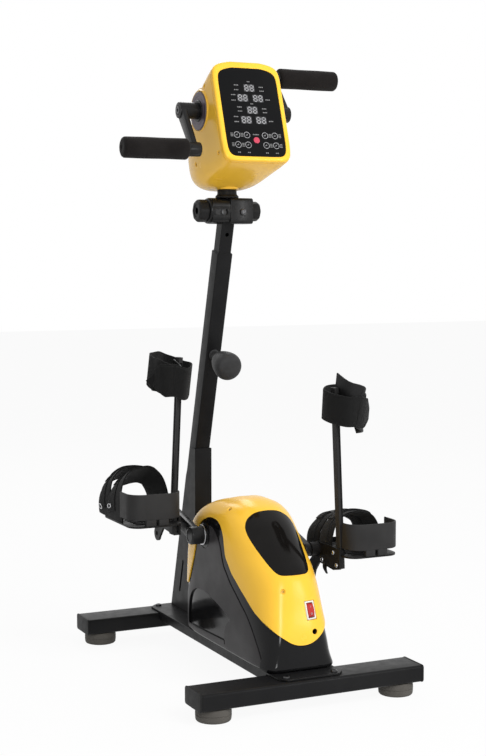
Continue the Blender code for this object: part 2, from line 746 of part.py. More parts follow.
CONSOLE_SECTIONS = (
    # depth, top, bottom, half width, squareness above and below
    (BEZEL_DEPTH + SEAT, 0.0955, -0.0985, 0.0685, 4.0, 8.0),
    (0.035, 0.0880, -0.1025, 0.0690, 3.8, 5.8),
    (0.071, 0.0785, -0.1040, 0.0685, 3.4, 4.4),
    (0.102, 0.0570, -0.0985, 0.0660, 3.1, 3.9),
    (0.135, 0.0330, -0.0910, 0.0600, 2.9, 3.4),
    (0.165, 0.0115, -0.0790, 0.0495, 2.6, 2.9),
    (0.186, -0.0040, -0.0640, 0.0360, 2.4, 2.6),
    (0.196, -0.0140, -0.0520, 0.0220, 2.2, 2.4),
)


def console_hull(inset=0.0):
    """Shell form in the bezel's frame: X across, Y depth behind the bezel face, Z up the bezel."""
    rings = []
    for depth, top, bottom, half_width, sharp_up, sharp_down in CONSOLE_SECTIONS:
        middle = (top + bottom) / 2
        reach = (top - bottom) / 2 - inset
        outline = egg(half_width - inset, reach, reach, sharp_up, sharp_down, (0, middle))
        rings.append([(x, depth - (inset if depth > 0.19 else 0), z) for x, z in outline])
    if inset:
        rings[0] = [(x, y - 0.02, z) for x, y, z in rings[0]]
    return skin(rings)


def panel_outline(grown=0.0):
    """Outline of the display panel, grown or shrunk."""
    return egg(PANEL_HALF_WIDTH + grown, PANEL_UP + grown, PANEL_DOWN + grown, 4.5, 9.0)


def console(swivel):
    """Console shell, bezel, panel and the two hub discs."""
    lean_at = (0, -BEZEL_AHEAD, BEZEL_RISE)
    to_swivel = Matrix.Translation(lean_at) @ Matrix.Rotation(-BEZEL_LEAN, 4, "X")
    lean = pivot("console_lean", lean_at, swivel, -BEZEL_LEAN)
    hub = (-HAND_HUB_AHEAD, HAND_HUB_RISE)
    motor = (hub[0] + GEAR_DISTANCE * math.cos(HAND_MOTOR_BEARING),
             hub[1] + GEAR_DISTANCE * math.sin(HAND_MOTOR_BEARING))

    shell = moved(console_hull(), to_swivel)
    shell = joined(shell, rod("X", hub, HUB_PAD_RADIUS, -HUB_PAD_FACE, HUB_PAD_FACE, 28))
    shell = cut(shell, moved(console_hull(CONSOLE_WALL), to_swivel))
    pad_inside = HUB_PAD_FACE - 2 * CONSOLE_WALL
    shell = cut(shell, rod("X", hub, HUB_PAD_RADIUS - CONSOLE_WALL, -pad_inside, pad_inside, 28))
    web_x = GEAR_X + GEAR_WIDTH / 2 + 0.010
    web = prism([(motor[0] - 0.045, motor[1] - 0.100), (motor[0] + 0.100, motor[1] - 0.100),
                 (motor[0] + 0.100, motor[1] + 0.030), (motor[0] - 0.045, motor[1] + 0.030)],
                "X", web_x, web_x + MOTOR_WEB_THICKNESS)
    web = common(web, moved(console_hull(CONSOLE_WALL / 2), to_swivel))
    shell = joined(shell, web)
    socket_low = COLLAR_HEIGHT + SEAT
    shell = joined(shell, rod("Z", (0, 0), SOCKET_RADIUS, socket_low, socket_low + SOCKET_HEIGHT, 24))
    stud_top = COLLAR_HEIGHT + NECK_STUD_LENGTH
    motor_seat = rod("X", motor, HAND_MOTOR_RADIUS + SEAT, web_x - MOTOR_WEB_THICKNESS,
                     web_x + 2 * MOTOR_WEB_THICKNESS, 20)
    shell = cut(shell, rod("Z", (0, 0), NECK_STUD_RADIUS + TURN, 0, stud_top + SEAT, 20),
                rod("X", hub, HAND_SHAFT_RADIUS + TURN, -0.1, 0.1, 18), motor_seat)
    piece("console_shell", shell, YELLOW_GLOSS, swivel)

    outline = egg(BEZEL_HALF_WIDTH, BEZEL_UP, BEZEL_DOWN, 4.0, 8.0)
    rings = []
    for depth, inset in ((BEZEL_DEPTH, 0), (BEZEL_EDGE, 0), (0, BEZEL_EDGE)):
        rings.append([(x * (1 - inset / BEZEL_HALF_WIDTH), depth, z * (1 - inset / BEZEL_UP))
                      for x, z in outline])
    opening = prism(panel_outline(SEAT), "Y", -0.01, PANEL_DEPTH + 2 * SEAT)
    bezel = cut(skin(rings), opening, prism(panel_outline(-PANEL_LEDGE), "Y", -0.01, 0.02))
    piece("console_bezel", bezel, YELLOW_GLOSS, lean)
    panel = prism(panel_outline(), "Y", SEAT, PANEL_DEPTH + SEAT)
    piece("display_panel", panel, BLACK_GLOSS, lean)

    for hand, side in (("left", -1), ("right", 1)):
        low = HUB_PAD_FACE + SEAT
        high = low + HUB_DISC_THICKNESS
        bore = HAND_SHAFT_RADIUS + TURN
        step = HAND_BOSS_RADIUS + 0.005
        edge = HUB_DISC_RADIUS - HUB_DISC_EDGE
        profile = [(0, low), (HUB_DISC_RADIUS, low), (HUB_DISC_RADIUS, high - HUB_DISC_EDGE), (edge, high),
                   (step, high), (step, high - HUB_DISC_STEP), (0, high - HUB_DISC_STEP)]
        disc = cut(turned(profile, "X", hub, 22), rod("X", hub, bore, 0, 0.1, 18))
        piece("hub_disc_" + hand, sided(disc, side), MAUVE_METAL, swivel)
    return hub, motor


def toothed(teeth, phase):
    """Outline of a spur gear with straight flanks."""
    pitch_radius = GEAR_MODULE * teeth / 2
    pitch = 2 * math.pi / teeth
    outline = []
    for tooth in range(teeth):
        middle = phase + tooth * pitch
        for radius, share in ((pitch_radius - GEAR_DEDENDUM, -0.30), (pitch_radius + GEAR_ADDENDUM, -0.14),
                              (pitch_radius + GEAR_ADDENDUM, 0.14), (pitch_radius - GEAR_DEDENDUM, 0.30)):
            angle = middle + share * pitch * GEAR_TOOTH_SHARE / 0.44
            outline.append((radius * math.cos(angle), radius * math.sin(angle)))
    return outline


def hand_crank(swivel, hub, motor):
    """Hand crank with its shaft, gear, pinion, motor, arms and grips."""
    crank = pivot("hand_crank_axis", (0, *hub), swivel, -HAND_PHASE)
    bearing = HAND_MOTOR_BEARING + HAND_PHASE
    outline = toothed(GEAR_TEETH, bearing + math.pi / GEAR_TEETH)
    gear = prism(outline, "X", GEAR_X - GEAR_WIDTH / 2, GEAR_X + GEAR_WIDTH / 2)
    shaft = joined(rod("X", (0, 0), HAND_SHAFT_RADIUS, -HAND_SHAFT_END, HAND_SHAFT_END, 18), gear)
    piece("hand_shaft", shaft, STEEL, crank)

    pinion_axis = pivot("hand_pinion_axis", (0, *motor), swivel)
    phase = HAND_MOTOR_BEARING + math.pi
    pinion = prism(toothed(PINION_TEETH, phase), "X", GEAR_X - GEAR_WIDTH / 2, GEAR_X + GEAR_WIDTH / 2)
    motor_start = GEAR_X + GEAR_WIDTH / 2 + 0.004
    stub = rod("X", (0, 0), PINION_SHAFT_RADIUS, GEAR_X, motor_start + PINION_SHAFT_LENGTH, 12)
    pinion = joined(pinion, stub)
    piece("hand_pinion", pinion, STEEL, pinion_axis)
    body = rod("X", motor, HAND_MOTOR_RADIUS, motor_start, motor_start + HAND_MOTOR_LENGTH, 20)
    bore = rod("X", motor, PINION_SHAFT_RADIUS + TURN, motor_start - 0.01,
               motor_start + PINION_SHAFT_LENGTH + SEAT, 12)
    piece("hand_motor", cut(body, bore), STEEL, swivel)

    for hand, side in (("left", -1), ("right", 1)):
        piece("hand_arm_" + hand, sided(hand_arm(side), side), BLACK_MATTE, crank)
        spin = pivot("grip_axis_" + hand, (0, 0, side * HAND_RADIUS), crank)
        piece("grip_" + hand, sided(grip(), side), FOAM, spin)


def hand_arm(way):
    """Arm from the hub boss to the grip's spindle, drawn for +X and pointing along way * Z."""
    reach = way * HAND_RADIUS
    near = HAND_ARM_X - HAND_ARM_THICKNESS / 2
    far = HAND_ARM_X + HAND_ARM_THICKNESS / 2
    end = (0, reach)
    web = prism(wrapped((0, 0), HAND_BOSS_RADIUS - 0.002, end, HAND_ARM_WIDTH / 2, 8), "X", near, far)
    boss_start = HUB_PAD_FACE + HUB_DISC_THICKNESS + 2 * SEAT
    grip_face = GRIP_START - SEAT
    spindle_end = GRIP_START + GRIP_LENGTH - GRIP_END_WALL - SEAT
    arm = joined(web, rod("X", (0, 0), HAND_BOSS_RADIUS, boss_start, HAND_BOSS_END, 22),
                 rod("X", end, HAND_END_BOSS_RADIUS, grip_face - HAND_END_BOSS_LENGTH, grip_face, 20),
                 rod("X", end, GRIP_SPINDLE_RADIUS, grip_face - 0.005, spindle_end, 14))
    return cut(arm, rod("X", (0, 0), HAND_SHAFT_RADIUS + SEAT, 0, HAND_SHAFT_END + SEAT, 18))


def grip():
    """Foam sleeve with a closed, rounded end, drawn for +X."""
    end = GRIP_START + GRIP_LENGTH
    bore = GRIP_SPINDLE_RADIUS + TURN
    round_end = 0.005
    profile = [(0, end), (GRIP_RADIUS - round_end, end), (GRIP_RADIUS - 0.0015, end - 0.0015),
               (GRIP_RADIUS, end - round_end), (GRIP_RADIUS, GRIP_START + 0.003),
               (GRIP_RADIUS - 0.003, GRIP_START), (bore, GRIP_START), (bore, end - GRIP_END_WALL),
               (0, end - GRIP_END_WALL)]
    return turned(profile, "X", steps=18)


# Casing

CASING_RINGS = (
    # height, front, rear, half width, squareness of the nose
    (CASING_FLOOR_Z, -0.2590, 0.1250, 0.0660, 7.0),
    (0.067, -0.2620, 0.1265, 0.0680, 7.0),
    (0.095, -0.2630, 0.1255, 0.0690, 5.3),
    (0.130, -0.2565, 0.1230, 0.0696, 4.0),
    (0.160, -0.2480, 0.1195, 0.0700, 3.4),
    (0.195, -0.2390, 0.1140, 0.0706, 2.85),
    (0.219, -0.2280, 0.1085, 0.0712, 2.5),
    (0.238, -0.2080, 0.1010, 0.0716, 2.35),
    (0.258, -0.1850, 0.0900, 0.0716, 2.25),
    (0.276, -0.1640, 0.0750, 0.0700, 2.2),
    (0.292, -0.1460, 0.0550, 0.0660, 2.15),
    (0.305, -0.1290, 0.0330, 0.0590, 2.1),
    (0.317, -0.1100, 0.0050, 0.0450, 2.1),
    (0.325, -0.0850, -0.0270, 0.0260, 2.1),
)
REAR_SQUARENESS = 5.0
CASING_STEPS = 28


def casing_hull(offset=0.0, open_below=0.0):
    """Casing form grown or shrunk by an offset; its foot may reach further down as a cutter."""
    rings = []
    for height, front, rear, half_width, nose in CASING_RINGS:
        middle = (front + rear) / 2
        ring = egg(half_width + offset, (rear - front) / 2 + offset, (rear - front) / 2 + offset,
                   REAR_SQUARENESS, nose, (0, middle), CASING_STEPS)
        rings.append([(x, y, height + offset * (height - CASING_FLOOR_Z) / 0.26) for x, y in ring])
    if open_below:
        rings[0] = [(x, y, z - open_below) for x, y, z in rings[0]]
    return skin(rings)


# Edge of the top cover and of the grey side panel, as (Y, Z) seen from the side
COVER_EDGE = ((-0.330, 0.098), (-0.255, 0.134), (-0.212, 0.161), (-0.151, 0.187), (-0.117, 0.213),
              (-0.091, 0.244), (-0.074, 0.269), (-0.056, 0.287), (-0.034, 0.293), (-0.008, 0.290),
              (0.018, 0.275), (0.030, 0.250), (0.037, 0.230), (0.055, 0.195), (0.079, 0.158),
              (0.084, APRON_Z), (0.300, APRON_Z), (0.300, 0.0), (-0.330, 0.0))
PANEL_EDGE = ((-0.256, 0.0625), (-0.240, 0.097), (-0.192, 0.137), (-0.117, 0.174), (-0.073, 0.224),
              (-0.060, 0.256), (-0.040, 0.274), (-0.014, 0.277), (0.008, 0.267), (0.024, 0.250),
              (0.032, 0.229), (0.066, 0.166), (0.100, 0.129), (0.112, 0.102), (0.114, 0.0625))
RECESS_EDGE = ((-0.088, 0.068), (0.090, 0.068), (0.085, 0.116), (0.058, 0.139), (0.021, 0.153),
               (-0.039, 0.156), (-0.079, 0.143), (-0.117, 0.122), (-0.096, 0.112), (-0.087, 0.090))


def switch_place():
    """Matrix of the switch's frame on the casing's nose; its front looks along local -Y."""
    surface = ray_to_casing(SWITCH_X, SWITCH_Z)
    turn = Matrix.Rotation(SWITCH_YAW, 4, "Z") @ Matrix.Rotation(SWITCH_LEAN, 4, "X")
    return Matrix.Translation((SWITCH_X, surface, SWITCH_Z)) @ turn


def ray_to_casing(x, z):
    """Y of the casing's front at a place given from the front."""
    for low, high in zip(CASING_RINGS, CASING_RINGS[1:]):
        if low[0] <= z <= high[0]:
            share = (z - low[0]) / (high[0] - low[0])
            front, rear, half_width, nose = (low[i] + share * (high[i] - low[i]) for i in range(1, 5))
            reach = (rear - front) / 2
            return (front + rear) / 2 - reach * (1 - (abs(x) / half_width) ** nose) ** (1 / nose)
    raise ValueError("height outside the casing")


def window_outline(gap=0.0):
    """Window seen from the front."""
    return egg(WINDOW_HALF_WIDTH - gap, WINDOW_UP - gap, WINDOW_DOWN - gap, 2.4, 3.4, (0, WINDOW_MID_Z), 24)


def casing():
    """Two casing halves, the top cover, its window and the power switch."""
    place = switch_place()
    half_w = SWITCH_FRAME_WIDTH / 2
    half_h = SWITCH_FRAME_HEIGHT / 2
    front = -SWITCH_FRAME_PROUD

    def switch_hole():
        reach = (half_w + SEAT, 0.03, half_h + SEAT)
        return moved(block((-reach[0], -reach[1], -reach[2]), reach), place)

    for hand, side in (("left", -1), ("right", 1)):
        shell = cut(casing_hull(), casing_hull(-CASING_WALL, open_below=0.02))
        low = CASING_SPLIT if side > 0 else -0.2
        shell = common(shell, block((low, -0.4, 0), (low + 0.2 - CASING_SPLIT, 0.4, 0.5)))
        pad = cut(casing_hull(PAD_RISE), casing_hull(-CASING_WALL / 2, open_below=0.02))
        pad = common(pad, sided(prism(PANEL_EDGE, "X", 0.040, 0.100), side))
        shell = joined(shell, pad)
        boss = rod("X", (CRANK_Y, CRANK_Z), CRANK_BOSS_RADIUS, 0.0695, CRANK_BOSS_FACE, 24)
        bore = rod("X", (CRANK_Y, CRANK_Z), CRANK_SHAFT_RADIUS + TURN, 0.03, 0.1, 20)
        recess = common(prism(RECESS_EDGE, "X", 0.045, 0.100), cut(block((0, -0.4, 0), (0.2, 0.4, 0.5)),
                        casing_hull(PAD_RISE - RECESS_DEPTH)))
        shell = cut(joined(shell, sided(boss, side)), sided(bore, side), sided(recess, side))
        if side > 0:
            shell = cut(shell, switch_hole())
        piece("casing_" + hand, shell, BLACK_GLOSS)

    layer = cut(casing_hull(COVER_GAP + COVER_WALL), casing_hull(COVER_GAP, open_below=0.02))
    for side in (-1, 1):
        layer = cut(layer, sided(prism(COVER_EDGE, "X", TONGUE_HALF_WIDTH, 0.2), side))
    middle = [(-0.4, 0.0), (0.4, 0.0), (0.4, APRON_Z), (0.0, APRON_Z), (0.0, TONGUE_Z), (-0.4, TONGUE_Z)]
    layer = cut(layer, prism(middle, "X", -TONGUE_HALF_WIDTH - 0.001, TONGUE_HALF_WIDTH + 0.001))
    window = layer.copy()
    layer = cut(layer, prism(window_outline(), "Y", -0.4, -0.06), switch_hole())
    socket_hole = rod("Y", (SOCKET_HOLE_X, SOCKET_HOLE_Z), SOCKET_HOLE_RADIUS, -0.4, -0.1, 20)
    piece("top_cover", cut(layer, socket_hole), YELLOW_GLOSS)
    piece("window", common(window, prism(window_outline(WINDOW_GAP), "Y", -0.4, -0.06)), SMOKED)

    frame = block((-half_w, front, -half_h), (half_w, front + SWITCH_FRAME_DEPTH, half_h))
    rocker_w = ROCKER_WIDTH / 2 + SEAT
    rocker_h = ROCKER_HEIGHT / 2 + 0.0008
    frame = cut(frame, block((-rocker_w, front - 0.01, -rocker_h), (rocker_w, front + 0.1, rocker_h)))
    piece("switch_frame", moved(frame, place), PALE_PLASTIC, edge=0.0008)
    axis = bpy.data.objects.new("switch_axis", None)
    bpy.context.scene.collection.objects.link(axis)
    axis.matrix_world = place @ Matrix.Translation((0, front + 0.004, 0))
    half_rocker = ROCKER_HEIGHT / 2
    profile = arc((-0.0010, 0), half_rocker, 90 + 12, 270 - 12, 6)
    profile = [(max(y * 0.42, -0.0062), z) for y, z in profile]
    profile += [(0.006, -0.0075), (0.006, 0.0075)]
    piece("power_switch", prism(profile, "X", -ROCKER_WIDTH / 2, ROCKER_WIDTH / 2), RED_PLASTIC, axis)


# Pedal drive

def pulley(radius):
    """Flat belt pulley with low rims, turned about its own axis."""
    half = PULLEY_WIDTH / 2
    rim = half - 0.0012
    low, high = PULLEY_X - half, PULLEY_X + half
    edge = radius + PULLEY_RIM
    profile = [(0, low), (edge, low), (edge, PULLEY_X - rim), (radius, PULLEY_X - rim),
               (radius, PULLEY_X + rim), (edge, PULLEY_X + rim), (edge, high), (0, high)]
    return turned(profile, "X", steps=20)


def pedal_drive():
    """Crank shaft, pulleys, belt and motor; returns the pedal crank's pivot."""
    crank = pivot("pedal_crank_axis", (0, CRANK_Y, CRANK_Z), turn=CRANK_PHASE)
    shaft = rod("X", (0, 0), CRANK_SHAFT_RADIUS, -CRANK_SHAFT_END, CRANK_SHAFT_END, 20)
    piece("crank_shaft", shaft, STEEL, crank)
    bore = rod("X", (0, 0), CRANK_SHAFT_RADIUS + SEAT, PULLEY_X - 0.02, PULLEY_X + 0.02, 20)
    piece("crank_pulley", cut(pulley(CRANK_PULLEY_RADIUS), bore), BLACK_MATTE, crank)

    motor_axis = pivot("motor_axis", (0, MOTOR_Y, MOTOR_Z))
    motor_start = PULLEY_X + PULLEY_WIDTH / 2 + 0.004
    stub = rod("X", (0, 0), MOTOR_SHAFT_RADIUS, PULLEY_X, motor_start + MOTOR_SHAFT_LENGTH, 14)
    small = joined(pulley(MOTOR_PULLEY_RADIUS), stub)
    piece("motor_pulley", small, ALUMINIUM, motor_axis)

    centres = ((CRANK_Y, CRANK_Z), (MOTOR_Y, MOTOR_Z))
    inner = wrapped(centres[0], CRANK_PULLEY_RADIUS + SEAT, centres[1], MOTOR_PULLEY_RADIUS + SEAT, 18)
    outer = wrapped(centres[0], CRANK_PULLEY_RADIUS + SEAT + BELT_THICKNESS,
                    centres[1], MOTOR_PULLEY_RADIUS + SEAT + BELT_THICKNESS, 18)
    low = PULLEY_X - BELT_WIDTH / 2
    high = PULLEY_X + BELT_WIDTH / 2
    belt = cut(prism(outer, "X", low, high), prism(inner, "X", low - 0.01, high + 0.01))
    piece("drive_belt", belt, BLACK_MATTE)

    body = rod("X", centres[1], MOTOR_RADIUS, motor_start, motor_start + MOTOR_LENGTH, 24)
    foot_low = PLATE_TOP_Z + SEAT
    mount = block((motor_start + MOTOR_FOOT_INSET, MOTOR_Y - MOTOR_FOOT_WIDTH / 2, foot_low),
                  (motor_start + MOTOR_LENGTH - MOTOR_FOOT_INSET, MOTOR_Y + MOTOR_FOOT_WIDTH / 2,
                   MOTOR_Z - MOTOR_RADIUS / 2))
    bore = rod("X", centres[1], MOTOR_SHAFT_RADIUS + TURN, motor_start - 0.01,
               motor_start + MOTOR_SHAFT_LENGTH + SEAT, 14)
    piece("drive_motor", cut(joined(body, mount), bore), STEEL)
    return crank


def pedal_arm(way):
    """Crank arm with its hub and the pedal's axle, drawn for +X and pointing along way * Y."""
    reach = way * CRANK_RADIUS
    near = PEDAL_ARM_X - PEDAL_ARM_THICKNESS / 2
    far = PEDAL_ARM_X + PEDAL_ARM_THICKNESS / 2
    web = prism(wrapped((0, 0), CRANK_HUB_RADIUS - 0.0015, (reach, 0), PEDAL_END_RADIUS, 8), "X", near, far)
    arm = joined(web, rod("X", (0, 0), CRANK_HUB_RADIUS, CRANK_BOSS_FACE + SEAT, CRANK_HUB_END, 22),
                 rod("X", (reach, 0), PEDAL_AXLE_RADIUS, far - 0.004, PEDAL_AXLE_END, 14))
    return cut(arm, rod("X", (0, 0), CRANK_SHAFT_RADIUS + SEAT, 0, CRANK_SHAFT_END + SEAT, 20))


# Pedals

def pedal_bracket():
    """Side plate with the axle's bearing hub and a hooked lobe, drawn for +X."""
    plate = [(-0.083, -0.024), (-0.083, 0.012), (-0.052, 0.014), (-0.018, 0.0135)]
    plate += arc((0, 0), PEDAL_HUB_RADIUS + 0.001, 95, -35, 10)
    plate += arc((LOBE_Y, LOBE_Z), LOBE_RADIUS, 35, -160, 12)
    plate += [(-0.006, -0.024), (-0.030, -0.026), (-0.060, -0.029)]
    far = BRACKET_PLATE_X + BRACKET_PLATE
    hub_start = PEDAL_ARM_X + PEDAL_ARM_THICKNESS / 2 + SEAT
    solid = joined(prism(plate, "X", BRACKET_PLATE_X, far),
                   rod("X", (0, 0), PEDAL_HUB_RADIUS, hub_start, far - 0.001, 20))
    return cut(solid, rod("X", (0, 0), PEDAL_AXLE_RADIUS + TURN, 0.05, 0.2, 14),
               rod("X", (LOBE_Y, LOBE_Z), LOBE_HOLE_RADIUS, 0.05, 0.2, 12))


def footplate():
    """Tray under the foot with a small lip in front, notched round the calf rod; drawn for +X."""
    low = FOOTPLATE_TOP - FOOTPLATE_THICKNESS
    plate = rounded_box(FOOTPLATE_WIDTH, FOOTPLATE_FRONT + FOOTPLATE_BACK, 0.022,
                        (FOOTPLATE_X + FOOTPLATE_WIDTH / 2, (FOOTPLATE_FRONT - FOOTPLATE_BACK) / 2), 6)
    solid = prism(plate, "Z", low, FOOTPLATE_TOP)
    lip_y = FOOTPLATE_FRONT - 0.004
    lip = block((FOOTPLATE_X + 0.024, lip_y - 0.003, low), (FOOTPLATE_X + FOOTPLATE_WIDTH - 0.024, lip_y,
                FOOTPLATE_TOP + FOOTPLATE_LIP))
    side_rail = block((FOOTPLATE_X, -0.050, low - 0.006), (FOOTPLATE_X + 0.004, 0.020, low + 0.001))
    solid = joined(solid, lip, side_rail)
    reach = ROD_THICKNESS + 0.006
    notch = block((FOOTPLATE_X - 0.01, ROD_Y - ROD_WIDTH / 2 - 0.001, -0.1),
                  (FOOTPLATE_X + reach, ROD_Y + ROD_WIDTH / 2 + 0.001, 0.1))
    return cut(solid, notch)


def heel_band():
    """Band round the heel, standing on two lugs; drawn for +X."""
    left = FOOTPLATE_X + ROD_THICKNESS / 4
    right = FOOTPLATE_X + FOOTPLATE_WIDTH + 0.002
    half = HEEL_SHEET / 2
    back = -HEEL_BACK + half
    corner = HEEL_CORNER
    inner_front = ROD_Y - ROD_WIDTH / 2 - 0.0015
    path = [(left + half, inner_front)]
    path += arc((left + half + corner, back + corner), corner, 180, 270, 8)
    path += arc((right - half - corner, back + corner), corner, 270, 360, 8)
    path += [(right - half, -HEEL_REACH)]
    solid = prism(band(path, HEEL_SHEET), "Z", HEEL_LOW, HEEL_LOW + HEEL_HEIGHT)
    lug_low = FOOTPLATE_TOP + SEAT
    for x in (left + corner, right - corner - HEEL_LUG):
        lug = block((x, -HEEL_BACK, lug_low), (x + HEEL_LUG, -HEEL_BACK + 0.012, HEEL_LOW + 0.004))
        solid = joined(solid, lug)
    return solid


def strap(rise, middle, width):
    """Strap arched over the foot, its ends on the footplate; drawn for +X."""
    low = FOOTPLATE_TOP + SEAT
    start = FOOTPLATE_X + STRAP_INSET
    end = FOOTPLATE_X + FOOTPLATE_WIDTH - STRAP_INSET
    centre = (start + end) / 2
    half = (end - start) / 2 - STRAP_THICKNESS / 2
    path = []
    for step in range(21):
        angle = math.pi * (1 - step / 20)
        path.append((centre + half * power(math.cos(angle), 2 / STRAP_SQUARENESS),
                     low + rise * power(math.sin(angle), 2 / STRAP_SQUARENESS)))
    return prism(band(path, STRAP_THICKNESS), "Y", middle - width / 2, middle + width / 2)


def ellipse(half_x, half_y, start=0.0, end=360.0, steps=32):
    """Points on an ellipse round the cuff's middle."""
    points = []
    for step in range(steps + 1):
        angle = math.radians(start + (end - start) * step / steps)
        points.append((CUFF_OFFSET + half_x * math.cos(angle), half_y * math.sin(angle)))
    return points


def calf_rest(name, side, pedal):
    """Grooved rod on the pedal with a cuff that slides on it."""
    foot_of_rod = pivot("calf_rod_axis_" + name, (side * ROD_X, ROD_Y, ROD_PIVOT_Z), pedal)
    foot_of_rod.rotation_euler.y = -side * ROD_LEAN
    bar = rounded_box(ROD_THICKNESS, ROD_WIDTH, 0.002)
    shape = prism(bar, "Z", -ROD_BELOW, ROD_LENGTH)
    groove = block((ROD_THICKNESS / 2 - ROD_GROOVE_DEPTH, -ROD_GROOVE_WIDTH / 2, 0.02),
                   (ROD_THICKNESS, ROD_GROOVE_WIDTH / 2, ROD_LENGTH - 0.01))
    back = block((-ROD_GROOVE_WIDTH / 2, -ROD_WIDTH, 0.02),
                 (ROD_GROOVE_WIDTH / 2, -ROD_WIDTH / 2 + ROD_GROOVE_DEPTH, ROD_LENGTH - 0.01))
    piece("calf_rod_" + name, sided(cut(shape, groove, back), side), GREY_MATTE, foot_of_rod)

    slide = pivot("calf_cuff_slide_" + name, (0, 0, ROD_LENGTH - CUFF_BELOW_ROD_TOP), foot_of_rod)
    tilt_cuff = Matrix.Rotation(CUFF_TILT, 4, "X")
    wall_x = ROD_THICKNESS / 2 + SEAT + CUFF_SHEET / 2
    path = [(wall_x, 0.014), (wall_x, -0.012), (wall_x + 0.001, -0.022), (wall_x + 0.004, -0.030)]
    path += ellipse(CUFF_HALF_X - CUFF_SHEET / 2, CUFF_HALF_Y - CUFF_SHEET / 2, -88, 38, 16)
    shell = prism(band(path, CUFF_SHEET), "Z", -CUFF_HEIGHT / 2, CUFF_HEIGHT / 2)
    shell = moved(shell, tilt_cuff)
    reach_x = ROD_THICKNESS / 2 + SEAT
    reach_y = ROD_WIDTH / 2 + SEAT
    wall = CUFF_SLIDER_WALL
    half = CUFF_SLIDER_HEIGHT / 2
    slider = block((-reach_x - wall, -reach_y - wall, -half),
                   (reach_x + CUFF_SHEET / 2, reach_y + wall, half))
    shell = joined(shell, slider)
    shell = cut(shell, block((-reach_x, -reach_y, -0.1), (reach_x, reach_y, 0.1)))
    piece("calf_cuff_" + name, sided(shell, side), BLACK_MATTE, slide)

    inner = ellipse(CUFF_HALF_X + SEAT, CUFF_HALF_Y + SEAT)[:-1]
    grown = SEAT + CALF_STRAP_THICKNESS
    outer = ellipse(CUFF_HALF_X + grown, CUFF_HALF_Y + grown)[:-1]
    loop = cut(prism(outer, "Z", -CALF_STRAP_WIDTH / 2, CALF_STRAP_WIDTH / 2), prism(inner, "Z", -0.1, 0.1))
    piece("calf_strap_" + name, sided(moved(loop, tilt_cuff), side), FABRIC, slide)


def pedals(crank):
    """Both crank arms with what hangs on them."""
    for hand, side, way in (("left", -1, 1), ("right", 1, -1)):
        piece("pedal_arm_" + hand, sided(pedal_arm(way), side), BLACK_MATTE, crank)
        pedal = pivot("pedal_axis_" + hand, (0, way * CRANK_RADIUS, 0), crank, -CRANK_PHASE)
        piece("pedal_bracket_" + hand, sided(pedal_bracket(), side), BLACK_STEEL, pedal)
        piece("footplate_" + hand, sided(footplate(), side), BLACK_STEEL, pedal)
        piece("heel_band_" + hand, sided(heel_band(), side), GREY_MATTE, pedal)
        toe = strap(TOE_STRAP_RISE[hand], TOE_STRAP_Y, TOE_STRAP_WIDTH)
        instep = strap(INSTEP_STRAP_RISE[hand], INSTEP_STRAP_Y, INSTEP_STRAP_WIDTH)
        piece("toe_strap_" + hand, sided(toe, side), FABRIC, pedal)
        piece("instep_strap_" + hand, sided(instep, side), FABRIC, pedal)
        calf_rest(hand, side, pedal)


def main():
    """Build the whole machine."""
    for thing in list(bpy.data.objects):
        bpy.data.objects.remove(thing)
    base()
    slide = post()
    swivel = tilt(slide)
    hub, motor = console(swivel)
    hand_crank(swivel, hub, motor)
    casing()
    crank = pedal_drive()
    pedals(crank)


main()
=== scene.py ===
"""Looks of the motorized therapy bike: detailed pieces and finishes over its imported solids.

Metres, +Z up. X runs across the machine, the user sits at -Y and faces +Y.
"""
from __future__ import annotations

import logging
import math
from dataclasses import dataclass, field
from enum import Enum
from typing import Callable, Optional, Sequence

import bmesh
import bpy
from mathutils import Matrix, Vector
from mathutils.bvhtree import BVHTree
from mathutils.interpolate import poly_3d_calc

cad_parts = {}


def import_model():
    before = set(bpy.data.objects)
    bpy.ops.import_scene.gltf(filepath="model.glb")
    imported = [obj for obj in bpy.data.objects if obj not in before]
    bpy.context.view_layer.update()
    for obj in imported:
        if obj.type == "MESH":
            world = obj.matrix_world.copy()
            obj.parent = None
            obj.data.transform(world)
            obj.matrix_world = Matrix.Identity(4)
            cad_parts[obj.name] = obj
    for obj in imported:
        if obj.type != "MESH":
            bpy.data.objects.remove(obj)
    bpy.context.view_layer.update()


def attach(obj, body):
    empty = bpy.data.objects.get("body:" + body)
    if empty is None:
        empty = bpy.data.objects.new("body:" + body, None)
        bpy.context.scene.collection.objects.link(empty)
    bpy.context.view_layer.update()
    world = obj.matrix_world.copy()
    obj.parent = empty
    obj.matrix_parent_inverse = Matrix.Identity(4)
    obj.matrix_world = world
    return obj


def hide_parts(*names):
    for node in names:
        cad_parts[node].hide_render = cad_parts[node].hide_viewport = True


LOG = logging.getLogger("therapy_bike")

Point = tuple[float, float]
Colour = tuple[float, float, float]
Loop = list[Vector]
Line = tuple[Point, ...]
Rows = tuple[tuple[float, ...], ...]
Spot = tuple[float, float, float]
Socket = bpy.types.NodeSocket

HAIR = 0.00002
MERGE = 1e-6
# Bore round the shaft in the head
HEAD_BORE = 0.0084


class Axis(Enum):
    """Axis that a profile or an outline is drawn about."""

    X = "X"
    Y = "Y"
    Z = "Z"

    def at(self, along: float, first: float, second: float) -> Vector:
        """Point given along this axis and by the two other coordinates in their usual order.

        Args:
            along: Coordinate along this axis.
            first: First of the two other coordinates.
            second: Second of the two other coordinates.

        Returns:
            The point.
        """
        if self is Axis.X:
            return Vector((along, first, second))
        if self is Axis.Y:
            return Vector((first, along, second))
        return Vector((first, second, along))

    def loop(self, outline: Sequence[Point], along: float) -> Loop:
        """Outline's points at one place along this axis."""
        return [self.at(along, *point) for point in outline]


